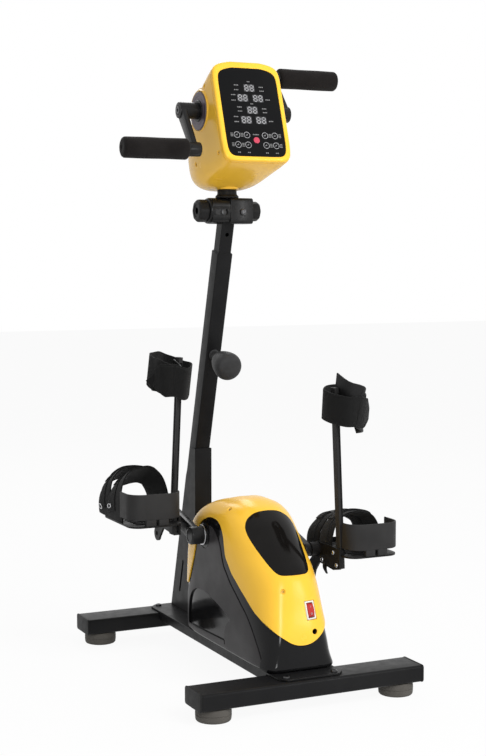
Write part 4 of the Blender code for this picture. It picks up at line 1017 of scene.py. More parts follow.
def stations(path: Sequence[Vector], across: Vector) -> list[Matrix]:
    """Frames along a path: X is the side that the strip faces, Y runs along it and Z is its width.

    Args:
        path: Points of the strip's middle line.
        across: Direction of the strip's width.

    Returns:
        One matrix for each point.
    """
    frames = []
    for index, point in enumerate(path):
        ahead = (path[min(index + 1, len(path) - 1)] - path[max(index - 1, 0)]).normalized()
        width = (across - ahead * across.dot(ahead)).normalized()
        normal = ahead.cross(width)
        frames.append(Matrix((
            (normal.x, ahead.x, width.x, point.x),
            (normal.y, ahead.y, width.y, point.y),
            (normal.z, ahead.z, width.z, point.z),
            (0, 0, 0, 1))))
    return frames


def strip_section(thickness: float, width: float, round_off: float = 0.0008) -> list[Vector]:
    """Cross-section of a strap: it starts at one edge of the outer face and runs across it.

    Args:
        thickness: Its thickness.
        width: The strap's width.
        round_off: Radius of its edges.

    Returns:
        Points in order.
    """
    outline = rounded_box(thickness, width, min(round_off, thickness * 0.45), steps=3)
    corners = Axis.Y.loop(outline, 0)
    start = min(range(len(corners)), key=lambda i: (corners[i].x < 0, corners[i].z))
    return corners[start:] + corners[:start]


def smooth_path(points: Sequence[Sequence[float]], steps: int = 6) -> list[Vector]:
    """Smooth open path through points."""
    return [Vector(row) for row in between(points, steps)]


def closing(ring: Loop, axis: Axis, crown: Sequence[Point]) -> list[Loop]:
    """Ever smaller rings that round off a hull's end, by rows of (share of the size, rise)."""
    middle = sum(ring, Vector()) / len(ring)
    return [[middle + (point - middle) * share + axis.at(rise, 0, 0) for point in ring]
        for share, rise in crown]


def facing(spot: Vector, normal: Vector) -> Matrix:
    """Frame on a surface, its X along the normal."""
    return Matrix.Translation(spot) @ normal.to_track_quat("X", "Z").to_matrix().to_4x4()


def screw_well(radius: float, mouth: float, depth: float, place: Matrix) -> Form:
    """Cutter of a screw's well, its mouth wider than its floor."""
    profile = [(0, -depth), (radius, -depth), (mouth, 0.0002), (mouth, 0.004), (0, 0.004)]
    return Form.turned(profile, Axis.X, steps=28).moved(place)


def screw(radius: float, height: float, axis: Axis = Axis.X, steps: int = 20) -> Form:
    """Pan-head screw with a cross recess, its seat at zero and its head along the axis.

    Args:
        radius: Radius of its head.
        height: Height of its head.
        axis: Axis that it is drawn about.
        steps: Number of steps.

    Returns:
        The screw.
    """
    profile = [(0, -radius * 0.4), (radius * 0.45, -radius * 0.4), (radius * 0.45, 0), (radius, 0),
        (radius, height * 0.45), (radius * 0.82, height * 0.85), (radius * 0.4, height), (0, height)]
    head = Form.turned(profile, axis, steps=steps)
    slot = radius * 0.16
    reach = radius * 0.62
    for first, second in ((reach, slot), (slot, reach)):
        outline = [(-first, -second), (first, -second), (first, second), (-first, second)]
        head.cut(Form.plate(outline, axis, height * 0.45, height * 2))
    return head


@dataclass
class Base:
    """Cross tubes with caps and feet, and the channel between them."""

    width: float = 0.43
    spacing: float = 0.556
    depth: float = 0.066
    height: float = 0.03
    corner: float = 0.005
    cap: float = 0.004
    cap_rim: float = 0.0006
    foot_radius: float = 0.031
    foot_height: float = 0.024
    foot_inset: float = 0.038
    lap_screws: Line = ((-0.046, 0.29), (0.046, 0.29), (-0.046, -0.29), (0.046, -0.29))
    channel_top: float = 0.0581

    def build(self) -> None:
        """Build and dress the base."""
        middle_z = self.foot_height + 0.0003 + self.height / 2
        for name, way in (("front", -1), ("rear", 1)):
            self.tube(name, (way * self.spacing / 2, middle_z))
            for side in Side:
                self.end_cap(name, side, (way * self.spacing / 2, middle_z))
                self.foot(name, side, way * self.spacing / 2)
        dressed("base_channel", BLACK_PAINT, 0.0007)
        screws = Form()
        for x, y in self.lap_screws:
            screws.add(screw(0.0062, 0.0036, Axis.Z).moved(shift(x, y, self.channel_top + HAIR)))
        screws.piece("channel_screws", DARK_STEEL, "base")

    def tube(self, name: str, middle: Point) -> None:
        """One cross tube.

        Args:
            name: front or rear.
            middle: Where its middle lies.
        """
        outline = rounded_box(self.depth, self.height, self.corner, middle)
        half = self.width / 2 - self.cap - 0.0003
        Form.plate(outline, Axis.X, -half, half).piece(name + "_cross_tube", BLACK_PAINT, "base",
            [name + "_tube"], crease=40)

    def end_cap(self, name: str, side: Side, middle: Point) -> None:
        """Moulded plug in a tube's end.

        Args:
            name: front or rear.
            side: The side.
            middle: Middle of the tube's section.
        """
        face = self.width / 2
        outline = rounded_box(self.depth + 2 * self.cap_rim, self.height + 2 * self.cap_rim, self.corner,
            middle)
        cap = Form.plate(outline, Axis.X, face - self.cap, face).eased(0.0012, 3, 50)
        cap.sided(side).piece(f"{name}_end_cap_{side.hand}", MATT_BLACK, "base",
            [f"{name}_cap_{side.hand}"])

    def foot(self, name: str, side: Side, y: float) -> None:
        """Round rubber foot with a shallow groove and a screw recess below.

        Args:
            name: front or rear.
            side: The side.
            y: Its place along the machine.
        """
        r, h = self.foot_radius, self.foot_height
        profile = [(0, 0.008), (0.009, 0.008), (0.009, 0.0004), (0.0094, 0), (r - 0.004, 0),
            (r - 0.0022, 0.0006), (r - 0.0009, 0.0022), (r - 0.0004, 0.005), (r - 0.0001, 0.0105),
            (r - 0.0009, 0.0112), (r - 0.0009, 0.0122), (r, 0.013), (r - 0.0004, h - 0.005),
            (r - 0.0009, h - 0.0022), (r - 0.0022, h - 0.0006), (r - 0.004, h), (0, h)]
        place = shift(side.value * (self.width / 2 - self.foot_inset), y, 0)
        Form.turned(profile).piece(f"{name}_rubber_foot_{side.hand}", RUBBER, "base",
            [f"{name}_foot_{side.hand}"], place=place)


@dataclass
class Post:
    """Bracket, telescopic tubes and the height knob."""

    size: float = 0.031
    corner: float = 0.003
    floor_z: float = 0.0584
    tube_length: float = 0.8
    bushing_bore: float = 0.0129
    knob_drop: float = 0.2
    knob_stem: float = 0.024
    knob_length: float = 0.084
    # Radius of the knob against its share of the length
    pear: Line = ((0.0135, 0.004), (0.0168, 0.06), (0.0196, 0.16), (0.0221, 0.28), (0.0243, 0.42),
        (0.0259, 0.56), (0.0267, 0.68), (0.0259, 0.8), (0.0225, 0.9), (0.0145, 0.97), (0.0, 1.0))

    def build(self) -> None:
        """Build and dress the post."""
        dressed("post_bracket", BLACK_PAINT, 0.0005)
        dressed("inner_post", BLACK_PAINT, 0.0006)
        outline = rounded_box(self.size, self.size, self.corner)
        tube = Form.plate(outline, Axis.Z, -self.tube_length, 0.0).moved(PLACES.post())
        everything = list(tube.mesh.verts) + list(tube.mesh.edges) + list(tube.mesh.faces)
        sliced = bmesh.ops.bisect_plane(tube.mesh, geom=everything, plane_co=(0, 0, self.floor_z),
            plane_no=(0, 0, -1), clear_outer=True)["geom_cut"]
        bmesh.ops.contextual_create(tube.mesh,
            geom=[e for e in sliced if isinstance(e, bmesh.types.BMEdge)])
        tube.piece("post_outer_tube", BLACK_PAINT, "base", ["outer_post"], crease=40)
        self.bushing()
        self.knob()

    def bushing(self) -> None:
        """Plastic collar in the outer tube's mouth."""
        half = self.size / 2 - 0.0009
        bore = self.bushing_bore
        low, high = -0.001, 0.0016
        rings = []
        for reach, z in ((bore, low), (half, low), (half, high - 0.0006), (half - 0.0006, high),
                (bore, high)):
            outline = rounded_box(2 * reach, 2 * reach, min(0.0028, reach * 0.2))
            rings.append(Axis.Z.loop(outline, z))
        Form.lofted(rings, ring=True).piece("post_mouth_bushing", MATT_BLACK, "base", place=PLACES.post())

    def knob(self) -> None:
        """Pear-shaped hand knob on its collar."""
        neck = self.knob_stem + 0.002
        profile = [(0, 0.002), (0.004, 0.002), (0.004, -0.0003), (0.0105, -0.0003), (0.0105, -0.0022),
            (0.009, -0.003), (0.0088, -0.014), (0.0094, -0.0146), (0.0094, -0.016), (0.0088, -0.0166),
            (0.009, -neck), (0.0108, -neck - 0.0002)]
        for radius, share in between(self.pear, 5):
            profile.append((max(radius, 0), -neck - (self.knob_length - neck) * share))
        place = PLACES.post() @ shift(0, -self.size / 2, -self.knob_drop)
        Form.turned(profile, Axis.Y, steps=64).piece("height_hand_knob", KNOB_GREY, "height_knob",
            ["height_knob"], crease=50, place=place)


@dataclass
class TiltHead:
    """Block on the post's top, its two clamp knobs and the neck collar."""

    width: float = 0.086
    depth: float = 0.05
    height: float = 0.048
    post_half: float = 0.01275
    post_above: float = 0.011
    pocket_clear: float = 0.0007
    steepest: float = 30.9
    knob_radius: float = 0.0185
    knob_length: float = 0.0197
    left_knob_more: float = 0.0025
    clamp_bore: float = 0.0064
    flutes: int = 8
    flute_depth: float = 0.0009

    def build(self) -> None:
        """Build and dress the tilt head."""
        self.block()
        for side in Side:
            self.knob(side)
        self.collar()
        self.front_details()

    def block(self) -> None:
        """Cast block: a barrel on the left, a squarer half on the right, and the post's pocket below."""
        half = self.width / 2
        middle = -0.003
        square = Form.plate(rounded_box(self.depth, self.height, 0.0055), Axis.X, middle,
            half).eased(0.0018, 3, 40)
        barrel = [(0, -half), (0.0205, -half), (0.0225, -half + 0.0008), (0.0238, -half + 0.0025),
            (0.0243, -half + 0.006), (0.0243, middle - 0.005), (0.0236, middle - 0.0022),
            (0.0236, middle + 0.01), (0, middle + 0.01)]
        block = Form.turned(barrel, Axis.X, steps=64)
        block.joined(Form.plate(rounded_box(0.046, 0.044, 0.012), Axis.X, -half + 0.004, middle + 0.006))
        block.joined(square)
        half_post = self.post_half + self.pocket_clear
        reach = math.hypot(half_post, self.post_above + self.pocket_clear)
        steepest = math.radians(self.steepest)
        break_z = (half_post / math.cos(steepest) - reach) / math.tan(steepest)
        low = -self.height / 2 - 0.004
        low_y = half_post / math.cos(steepest) - low * math.tan(steepest)
        half_pocket = self.post_half + 0.0003
        outline = [(-reach, reach), (reach, reach), (reach, break_z), (low_y, low), (-reach, low)]
        block.cut(Form.plate(outline, Axis.X, -half_pocket, half_pocket),
            Form.plate(circle((0, 0), self.clamp_bore, 32), Axis.X, -0.1, 0.1),
            Form.plate(circle((0, 0), HEAD_BORE, 32), Axis.Z, self.height / 2 - 0.0043, 0.1),
            Form.plate(rounded_box(0.024, 0.011, 0.0035, (-0.021, -0.002)), Axis.Y, -0.1,
            -self.depth / 2 + 0.0045))
        block.piece("tilt_casting", SATIN_BLACK, "tilt_head", ["tilt_block"], crease=38,
            place=PLACES.tilt())

    def knob(self, side: Side) -> None:
        """Fluted clamp knob with a domed cap.

        Args:
            side: The side.
        """
        near = self.width / 2 + 0.0003
        far = near + self.knob_length
        rings = []
        for x, scale in ((near, 0.92), (near + 0.0008, 0.98), (near + 0.002, 1.0), (far - 0.0045, 1.0),
                (far - 0.0022, 0.97), (far - 0.0008, 0.91), (far, 0.82), (far, 0.62), (far - 0.0012, 0.58),
                (far - 0.0012, 0.3)):
            ring = []
            for step in range(self.flutes * 10):
                angle = 2 * math.pi * step / (self.flutes * 10)
                dip = self.flute_depth * (0.5 - 0.5 * math.cos(angle * self.flutes))
                radius = (self.knob_radius + (self.left_knob_more if side is Side.LEFT else 0.0)
                    - dip) * scale
                ring.append(Vector((x, radius * math.cos(angle), radius * math.sin(angle))))
            rings.append(ring)
        Form.lofted(rings).sided(side).piece("tilt_clamp_knob_" + side.hand, MATT_BLACK,
            "tilt_knob_" + side.hand, ["tilt_knob_" + side.hand], crease=40, place=PLACES.tilt())

    def collar(self) -> None:
        """Flanged collar under the head."""
        profile = [(0, 0.0003), (0.0212, 0.0003), (0.022, 0.001), (0.0218, 0.0032), (0.021, 0.0044),
            (0.019, 0.0062), (0.0182, 0.009), (0.018, 0.015), (0.0174, 0.016), (0.01, 0.016), (0.01, 0.034),
            (0, 0.034)]
        Form.turned(profile).piece("neck_flange", MATT_BLACK, "tilt_head", ["neck_collar"],
            place=PLACES.neck())

    def front_details(self) -> None:
        """Screw in the block's face and the bright end of the clamp bar in its slot."""
        place = PLACES.tilt() @ shift(0.022, -self.depth / 2 - 0.002, -0.002) @ turn(180, Axis.Z)
        screw(0.0062, 0.0024, Axis.Y).piece("tilt_block_screw", DARK_STEEL, "tilt_head", place=place)
        bar = Form.plate(rounded_box(0.0045, 0.0085, 0.0012), Axis.Y, 0, 0.003).eased(0.0004, 2)
        bar.piece("clamp_bar_end", DARK_STEEL, "tilt_head",
            place=PLACES.tilt() @ shift(-0.019, -self.depth / 2 + 0.0019, -0.0024))


@dataclass
class Console:
    """Head: shell, bezel, display panel with its print and keys, and the hub discs."""

    wall: float = 0.0028
    bezel_depth: float = 0.009
    half_width: float = 0.068
    up: float = 0.097
    down: float = 0.098
    panel: Spot = (0.058, 0.084, 0.089)
    panel_depth: float = 0.0055
    neck_bore: float = 0.0104
    hub_face: float = 0.069
    hub_root: float = 0.06
    shading_limit: float = 35.0
    disc_radius: float = 0.035
    disc_thickness: float = 0.0035
    seal_gap: float = 0.0004
    sections: Rows = (
        # depth, top, bottom, half width, squareness above and below
        (0.0093, 0.0955, -0.0985, 0.0685, 8.5, 9.0),
        (0.035, 0.0895, -0.0995, 0.0692, 7.0, 7.4),
        (0.071, 0.0795, -0.099, 0.07, 5.2, 5.8),
        (0.106, 0.058, -0.0985, 0.07, 4.0, 4.8),
        (0.141, 0.0335, -0.097, 0.067, 3.3, 3.9),
        (0.173, 0.0105, -0.0895, 0.059, 2.7, 3.1),
        (0.196, -0.0065, -0.075, 0.045, 2.4, 2.7),
        (0.207, -0.0175, -0.059, 0.027, 2.2, 2.4),
    )
    squareness: Point = (8.5, 9.0)
    opening_squareness: Point = (9.5, 9.5)
    crown: Line = ((0.82, 0.0022), (0.55, 0.004), (0.25, 0.0048))
    crown_rise: float = 0.01
    crown_depth: float = 0.095
    digit_rows: tuple[tuple[float, tuple[float, ...]], ...] = ((0.0432, (0.0012,)),
        (0.0234, (-0.0145, 0.016)), (0.0001, (0.0012,)), (-0.0192, (-0.0135, 0.016)))
    digit_window: Spot = (0.0212, 0.0142, 0.0008)
    digit_height: float = 0.0112
    digit_width: float = 0.0064
    digit_pitch: float = 0.0104
    bar_half: float = 0.001
    keys: Line = ((-0.0368, -0.0485), (-0.017, -0.0485), (0.019, -0.0485), (0.0386, -0.0485),
        (-0.0368, -0.0675), (-0.017, -0.0675), (0.019, -0.0675), (0.0386, -0.0675))
    key_radius: float = 0.006
    mark_pitch: float = 0.0031
    start_key: Point = (0.0008, -0.0581)
    shell_screws: Line = ((0.04, 0.062), (0.022, -0.075), (0.12, -0.058))

    def build(self) -> None:
        """Build the head."""
        self.shell()
        self.bezel()
        self.display()
        for side in Side:
            self.hub_disc(side)
        dressed("hand_motor", CAST)

    def hull(self, inset: float = 0.0) -> Form:
        """Shell form in the panel's frame, shrunk by an inset.

        Args:
            inset: How far it is shrunk.

        Returns:
            The form.
        """
        rings = []
        for depth, top, bottom, half_width, sharp_up, sharp_down in between(self.sections, 7):
            reach = (top - bottom) / 2 - inset
            middle = (top + bottom) / 2
            outline = egg(half_width - inset, reach, reach, sharp_up, sharp_down, (0, middle), 112)
            fall = self.crown_rise * max(1 - depth / self.crown_depth, 0)
            outline = self.crowned(outline, half_width - inset, middle, reach, fall)
            rings.append(Axis.Y.loop(outline, depth))
        if inset:
            rings[0] = [point - Vector((0, 0.02, 0)) for point in rings[0]]
            rings = rings[:-3]
        else:
            rings += closing(rings[-1], Axis.Y, self.crown)
        return Form.lofted(rings)

    def crowned(self, outline: list[Point], half_width: float, middle: float, reach: float,
            fall: float) -> list[Point]:
        """Outline whose upper edge falls away in a low arch towards its corners."""
        return [(x, z - fall * (x / half_width) ** 2 * min(max((z - middle) / reach, 0), 1) ** 3)
            for x, z in outline]

    def face(self, half_width: float, up: float, down: float, squareness: Point) -> list[Point]:
        """Outline on the head's face with a crowned upper edge."""
        outline = egg(half_width, up, down, *squareness, steps=128)
        return self.crowned(outline, half_width, 0, up, self.crown_rise)

    def shell(self) -> None:
        """Glossy moulded shell with its hub pads, neck socket and screw wells."""
        shell = self.hull().cut(self.hull(self.wall))
        shell.moved(PLACES.panel())
        hub = PLACES.hand_hub().translation
        at = (hub.y, hub.z)
        shell.cut(Form.plate(circle(at, HEAD_BORE), Axis.X, -0.1, 0.1),
            Form.plate(circle((0, PLACES.neck().translation.y), self.neck_bore), Axis.Z, 0.85, 0.925))
        for place in self.well_places():
            shell.cut(screw_well(0.0032, 0.0046, 0.0024, place))
        for side in Side:
            shell.add(self.hub_pad(at).sided(side))
        shell.add(self.socket())
        thing = shell.piece("console_moulding", YELLOW, "console", ["console_shell"], crease=38)
        guide = self._placed_hull()
        shaded_like(thing, guide, self.shading_limit)
        guide.mesh.free()
        self.well_screws()

    def hub_pad(self, at: Point) -> Form:
        """Round pad with a thin lip that carries a hub disc, drawn for +X.

        Args:
            at: Place of the crank's axis.

        Returns:
            The pad.
        """
        face = self.hub_face
        profile = [(HEAD_BORE, self.hub_root), (0.045, self.hub_root), (0.042, 0.0668), (0.0395, 0.0684),
            (0.0382, 0.07), (0.0376, 0.0712), (0.0366, 0.0718), (0.0358, 0.0712), (0.0355, face),
            (HEAD_BORE, face)]
        return Form.turned(profile, Axis.X, at, steps=72, ring=True)

    def socket(self) -> Form:
        """Round socket that sits on the collar.

        Returns:
            The socket.
        """
        profile = [(self.neck_bore, 0.0163), (0.02, 0.0163), (0.021, 0.0168), (0.0215, 0.0182),
            (0.0215, 0.042), (0.0222, 0.045), (0.024, 0.048), (self.neck_bore, 0.05)]
        return Form.turned(profile, Axis.Z, steps=64, ring=True).moved(PLACES.neck())

    def well_places(self) -> list[Matrix]:
        """Frames of the shell's screw wells; X points out of the shell.

        Returns:
            The frames.
        """
        found = []
        surface = BVHTree.FromBMesh(self._placed_hull().mesh)
        for depth, height in self.shell_screws:
            for side in Side:
                start = PLACES.panel() @ Vector((side.value * 0.2, depth, height))
                spot, normal, _, _ = surface.ray_cast(start, Vector((-side.value, 0, 0)))
                if spot is not None:
                    found.append(facing(spot, normal))
        return found

    def _placed_hull(self) -> Form:
        """Outer hull in the machine's frame.

        Returns:
            The hull, in triangles.
        """
        hull = self.hull().moved(PLACES.panel())
        bmesh.ops.triangulate(hull.mesh, faces=hull.mesh.faces)
        return hull

    def well_screws(self) -> None:
        """Screws at the bottom of the wells."""
        screws = Form()
        for place in self.well_places():
            screws.add(screw(0.0024, 0.001).moved(place @ shift(-0.0023, 0, 0)))
        screws.piece("console_screws", ZINC, "console")

    def bezel(self) -> None:
        """Rounded frame round the display."""
        rings = []
        for depth, inset in ((self.bezel_depth, 0.0), (0.005, 0.0), (0.003, 0.0004), (0.0016, 0.0012),
                (0.0006, 0.0024), (0.0001, 0.0038), (0.0, 0.0052)):
            outline = self.face(self.half_width - inset, self.up - inset, self.down - inset,
                self.squareness)
            rings.append(Axis.Y.loop(outline, depth))
        half, up, down = self.panel
        for depth, grown in ((0.0, 0.0016), (0.0002, 0.0008), (0.0008, 0.0004),
                (self.panel_depth + 0.0005, 0.0003), (self.panel_depth + 0.0005, -0.003),
                (self.bezel_depth, -0.003)):
            outline = self.face(half + grown, up + grown, down + grown, self.opening_squareness)
            rings.append(Axis.Y.loop(outline, depth))
        Form.lofted(rings, ring=True).piece("console_frame", YELLOW, "console", ["console_bezel"],
            crease=50, place=PLACES.panel())

    def display(self) -> None:
        """Panel with unlit digits, printed marks and membrane keys."""
        half, up, down = self.panel
        glass = Form.plate(self.face(half, up, down, self.opening_squareness), Axis.Y, 0.0003,
            self.panel_depth)
        glass.eased(0.0005, 2, 60).piece("display_glass", GLASS, "console", ["display_panel"],
            place=PLACES.panel())
        prints = (("digit_windows", self.digit_windows(), DIGIT_WINDOW),
            ("display_digits", self.digits(), DIGIT), ("key_rings", self.key_rings(), INK_WHITE),
            ("printed_marks", self.marks(), INK_GREY))
        for name, form, finish in prints:
            form.piece(name, finish, "console", place=PLACES.panel())
        dome = [(0, 0.0003), (0.006, 0.0003), (0.0058, -0.0003), (0.005, -0.0007), (0.003, -0.0009),
            (0, -0.001)]
        Form.turned(dome, Axis.Y, self.start_key, steps=40).piece("start_key", PINK_KEY, "console",
            place=PLACES.panel())

    def digits(self) -> Form:
        """Seven-segment digits in pairs, all segments unlit.

        Returns:
            The bars of all digits.
        """
        form = Form()
        for height, groups in self.digit_rows:
            for middle in groups:
                for offset in (-self.digit_pitch / 2, self.digit_pitch / 2):
                    self.digit(form, (middle + offset, height))
        return form

    def digit_windows(self) -> Form:
        """Grey windows that the digits stand in.

        Returns:
            The windows.
        """
        form = Form()
        for height, groups in self.digit_rows:
            for middle in groups:
                outline = rounded_box(*self.digit_window, (middle, height), steps=2)
                form.add(Form.plate(outline, Axis.Y, 0.00024, 0.00035))
        return form

    def digit(self, form: Form, middle: Point) -> None:
        """One digit of seven bars.

        Args:
            form: Form that takes the bars.
            middle: Middle of the digit.
        """
        w, h, t = self.digit_width / 2, self.digit_height / 2, self.bar_half
        bars = [((0, h), (w - t, t)), ((0, 0), (w - t, t)), ((0, -h), (w - t, t))]
        bars += [((x, y), (t, h / 2 - t * 0.8)) for x in (-w, w) for y in (-h / 2, h / 2)]
        for (x, y), (reach, rise) in bars:
            form.add(self.mark((middle[0] + x, middle[1] + y), reach, rise))

    def mark(self, at: Point, reach: float, rise: float) -> Form:
        """Thin printed bar on the panel's face."""
        outline = rounded_box(2 * reach, 2 * rise, min(reach, rise) * 0.6, at, steps=2)
        return Form.plate(outline, Axis.Y, 0.00018, 0.00035)

    def key_rings(self) -> Form:
        """Printed rings of the membrane keys.

        Returns:
            The rings and their signs.
        """
        form = Form()
        r = self.key_radius
        for at in self.keys:
            profile = [(r - 0.0007, 0.00035), (r - 0.0007, 0.00014), (r, 0.00014), (r, 0.00035)]
            form.add(Form.turned(profile, Axis.Y, at, steps=40, ring=True))
            form.add(self.mark((at[0] - 0.0012, at[1] - 0.0004), 0.0013, 0.0003))
            form.add(self.mark((at[0] + 0.0006, at[1] + 0.0006), 0.0003, 0.0014))
        return form

    def marks(self) -> Form:
        """Small printed bars beside the digits and keys.

        Returns:
            The bars.
        """
        form = Form()
        rows = [((0.0012, 0.0555), 2)]
        rows += [((-0.024, 0.048), 3), ((-0.025, 0.0388), 3), ((0.025, 0.0458), 3), ((0.0256, 0.0383), 3)]
        rows += [((-0.0326, 0.0288), 3), ((-0.0334, 0.0182), 3), ((0.0352, 0.0214), 3),
            ((0.002, 0.0124), 2)]
        rows += [((-0.0236, 0.0052), 3), ((-0.0236, -0.0026), 3), ((0.0254, 0.0036), 3),
            ((0.026, -0.0037), 3)]
        rows += [((-0.0334, -0.0136), 3), ((-0.0336, -0.0233), 3), ((0.0356, -0.0205), 3),
            ((0.0008, -0.0472), 4)]
        rows += [((x, -0.082), 2) for x in (-0.0368, -0.0172, 0.0184, 0.0384)]
        for (x, z), count in rows:
            for index in range(count):
                form.add(self.mark((x + (index - (count - 1) / 2) * self.mark_pitch, z), 0.0012, 0.001))
        for x in (-0.0468, -0.0268, 0.0288, 0.0484):
            for z in (-0.0485, -0.0675):
                for rise in (-0.0026, 0.0, 0.0026):
                    form.add(self.mark((x, z + rise), 0.0026, 0.00065))
        return form

    def hub_disc(self, side: Side) -> None:
        """Metal disc round the hand crank's boss.

        Args:
            side: The side.
        """
        hub = PLACES.hand_hub().translation
        low = self.hub_face + 0.0003
        high = low + self.disc_thickness
        r = self.disc_radius
        profile = [(HEAD_BORE, low), (r, low), (r, high - 0.0014), (r - 0.0005, high - 0.0005),
            (r - 0.0015, high), (0.0262, high), (0.0258, high - 0.0004), (0.025, high - 0.0004),
            (0.0246, high), (0.0202, high), (0.0198, high - 0.001), (HEAD_BORE, high - 0.001)]
        disc = Form.turned(profile, Axis.X, (hub.y, hub.z), steps=96, ring=True).sided(side)
        disc.piece("hub_plate_" + side.hand, MAUVE, "console", ["hub_disc_" + side.hand], crease=25)
        bore = HandCrank.boss_radius + self.seal_gap
        seal = [(bore, high - 0.0009), (0.0197, high - 0.0009), (0.0197, high + 0.0008),
            (0.0188, high + 0.0016), (bore, high + 0.0016)]
        Form.turned(seal, Axis.X, (hub.y, hub.z), steps=72, ring=True).sided(side).piece(
            "hub_seal_" + side.hand, SATIN_BLACK, "console", crease=35)


@dataclass
class HandCrank:
    """Arms with bosses, foam grips and the drive inside the head."""

    radius: float = 0.094
    boss_radius: float = 0.015
    end_radius: float = 0.013
    arm_width: float = 0.018
    arm_x: float = 0.105
    arm_thickness: float = 0.01
    boss_from: float = 0.0731
    boss_to: float = 0.112
    grip_from: float = 0.1195
    grip_length: float = 0.1235
    grip_radius: float = 0.019

    def build(self) -> None:
        """Build the hand crank."""
        dressed("hand_shaft", STEEL)
        dressed("hand_pinion", STEEL)
        for side in Side:
            self.arm(side)
            self.grip(side)

    def arm(self, side: Side) -> None:
        """Arm with its hub boss and end boss, drawn for +X.

        Args:
            side: The side.
        """
        reach = side.value * self.radius
        near = self.arm_x - self.arm_thickness / 2
        outline = wrapped((0, 0), self.boss_radius - 0.002, (0, reach), self.arm_width / 2)
        arm = Form.plate(outline, Axis.X, near, near + self.arm_thickness).eased(0.0022, 3, 50)
        r = self.boss_radius
        arm.add(Form.turned([(0.0083, self.boss_from), (r - 0.001, self.boss_from),
            (r, self.boss_from + 0.001), (r, self.boss_to - 0.002), (r - 0.0006, self.boss_to - 0.0006),
            (r - 0.002, self.boss_to), (0.0083, self.boss_to)], Axis.X, steps=48, ring=True))
        r = self.end_radius
        face = self.grip_from - 0.0003
        arm.add(Form.turned([(0, face - 0.025), (r - 0.002, face - 0.025), (r - 0.0006, face - 0.0244),
            (r, face - 0.023), (r, face - 0.001), (r - 0.001, face), (0.006, face), (0.006, face + 0.118),
            (0, face + 0.118)], Axis.X, (0, reach), steps=44))
        arm.sided(side).piece("crank_arm_" + side.hand, SATIN_BLACK, "hand_crank",
            ["hand_arm_" + side.hand], crease=40, place=PLACES.hand_crank())
        bolt = Form.turned([(0, self.boss_to - 0.003), (0.0072, self.boss_to - 0.003),
            (0.0072, self.boss_to + 0.0002), (0.0062, self.boss_to + 0.001), (0.003, self.boss_to + 0.0012),
            (0.003, self.boss_to - 0.001), (0, self.boss_to - 0.001)], Axis.X, steps=32)
        bolt.sided(side).piece("hub_bolt_" + side.hand, DARK_STEEL, "hand_crank", place=PLACES.hand_crank())

    def grip(self, side: Side) -> None:
        """Foam sleeve with a rolled end and a slightly wavy skin.

        Args:
            side: The side.
        """
        end = self.grip_from + self.grip_length
        r = self.grip_radius
        profile = [(0.0064, self.grip_from), (r - 0.004, self.grip_from),
            (r - 0.0018, self.grip_from + 0.0005), (r - 0.0005, self.grip_from + 0.0018)]
        for step in range(25):
            share = step / 24
            along = self.grip_from + 0.004 + (self.grip_length - 0.01) * share
            profile.append((r - 0.00035 * (1 - math.cos(share * 9.0)) * 0.5, along))
        profile += [(r - 0.0006, end - 0.004), (r - 0.002, end - 0.0018), (r - 0.0045, end - 0.0005),
            (r - 0.0075, end), (0.004, end), (0.003, end - 0.0008), (0, end - 0.0008)]
        profile = profile + [(0, end - 0.005), (0.0064, end - 0.005)]
        place = PLACES.hand_crank() @ shift(0, 0, side.value * self.radius)
        thing = Form.turned(profile, Axis.X, steps=56, ring=True).sided(side).piece(
            "foam_grip_" + side.hand, FOAM, "grip_" + side.hand, ["grip_" + side.hand], crease=60,
            place=place)


def shaded_like(thing: bpy.types.Object, guide: Form, within: float = 50.0) -> None:
    """Give a cut piece the smooth shading of the whole form that it was cut from.

    Args:
        thing: The piece.
        guide: The whole form; it stays as it is.
        within: Angle in degrees up to which a face follows the form.
    """
    source = guide.copy().mesh
    bmesh.ops.triangulate(source, faces=source.faces)
    source.normal_update()
    source.faces.ensure_lookup_table()
    tree = BVHTree.FromBMesh(source)
    mesh = thing.data
    smooth = []
    for vert in mesh.vertices:
        near, _, index, _ = tree.find_nearest(vert.co)
        corners = source.faces[index].verts
        weights = poly_3d_calc([corner.co for corner in corners], near)
        blend = Vector()
        for corner, weight in zip(corners, weights):
            blend += corner.normal * weight
        smooth.append(blend.normalized())
    normals = [Vector(corner.vector) for corner in mesh.corner_normals]
    limit = math.cos(math.radians(within))
    for face in mesh.polygons:
        for corner in face.loop_indices:
            wanted = smooth[mesh.loops[corner].vertex_index]
            agreement = face.normal.dot(wanted)
            if abs(agreement) > limit:
                normals[corner] = wanted if agreement > 0 else -wanted
    mesh.normals_split_custom_set(normals)
    source.free()


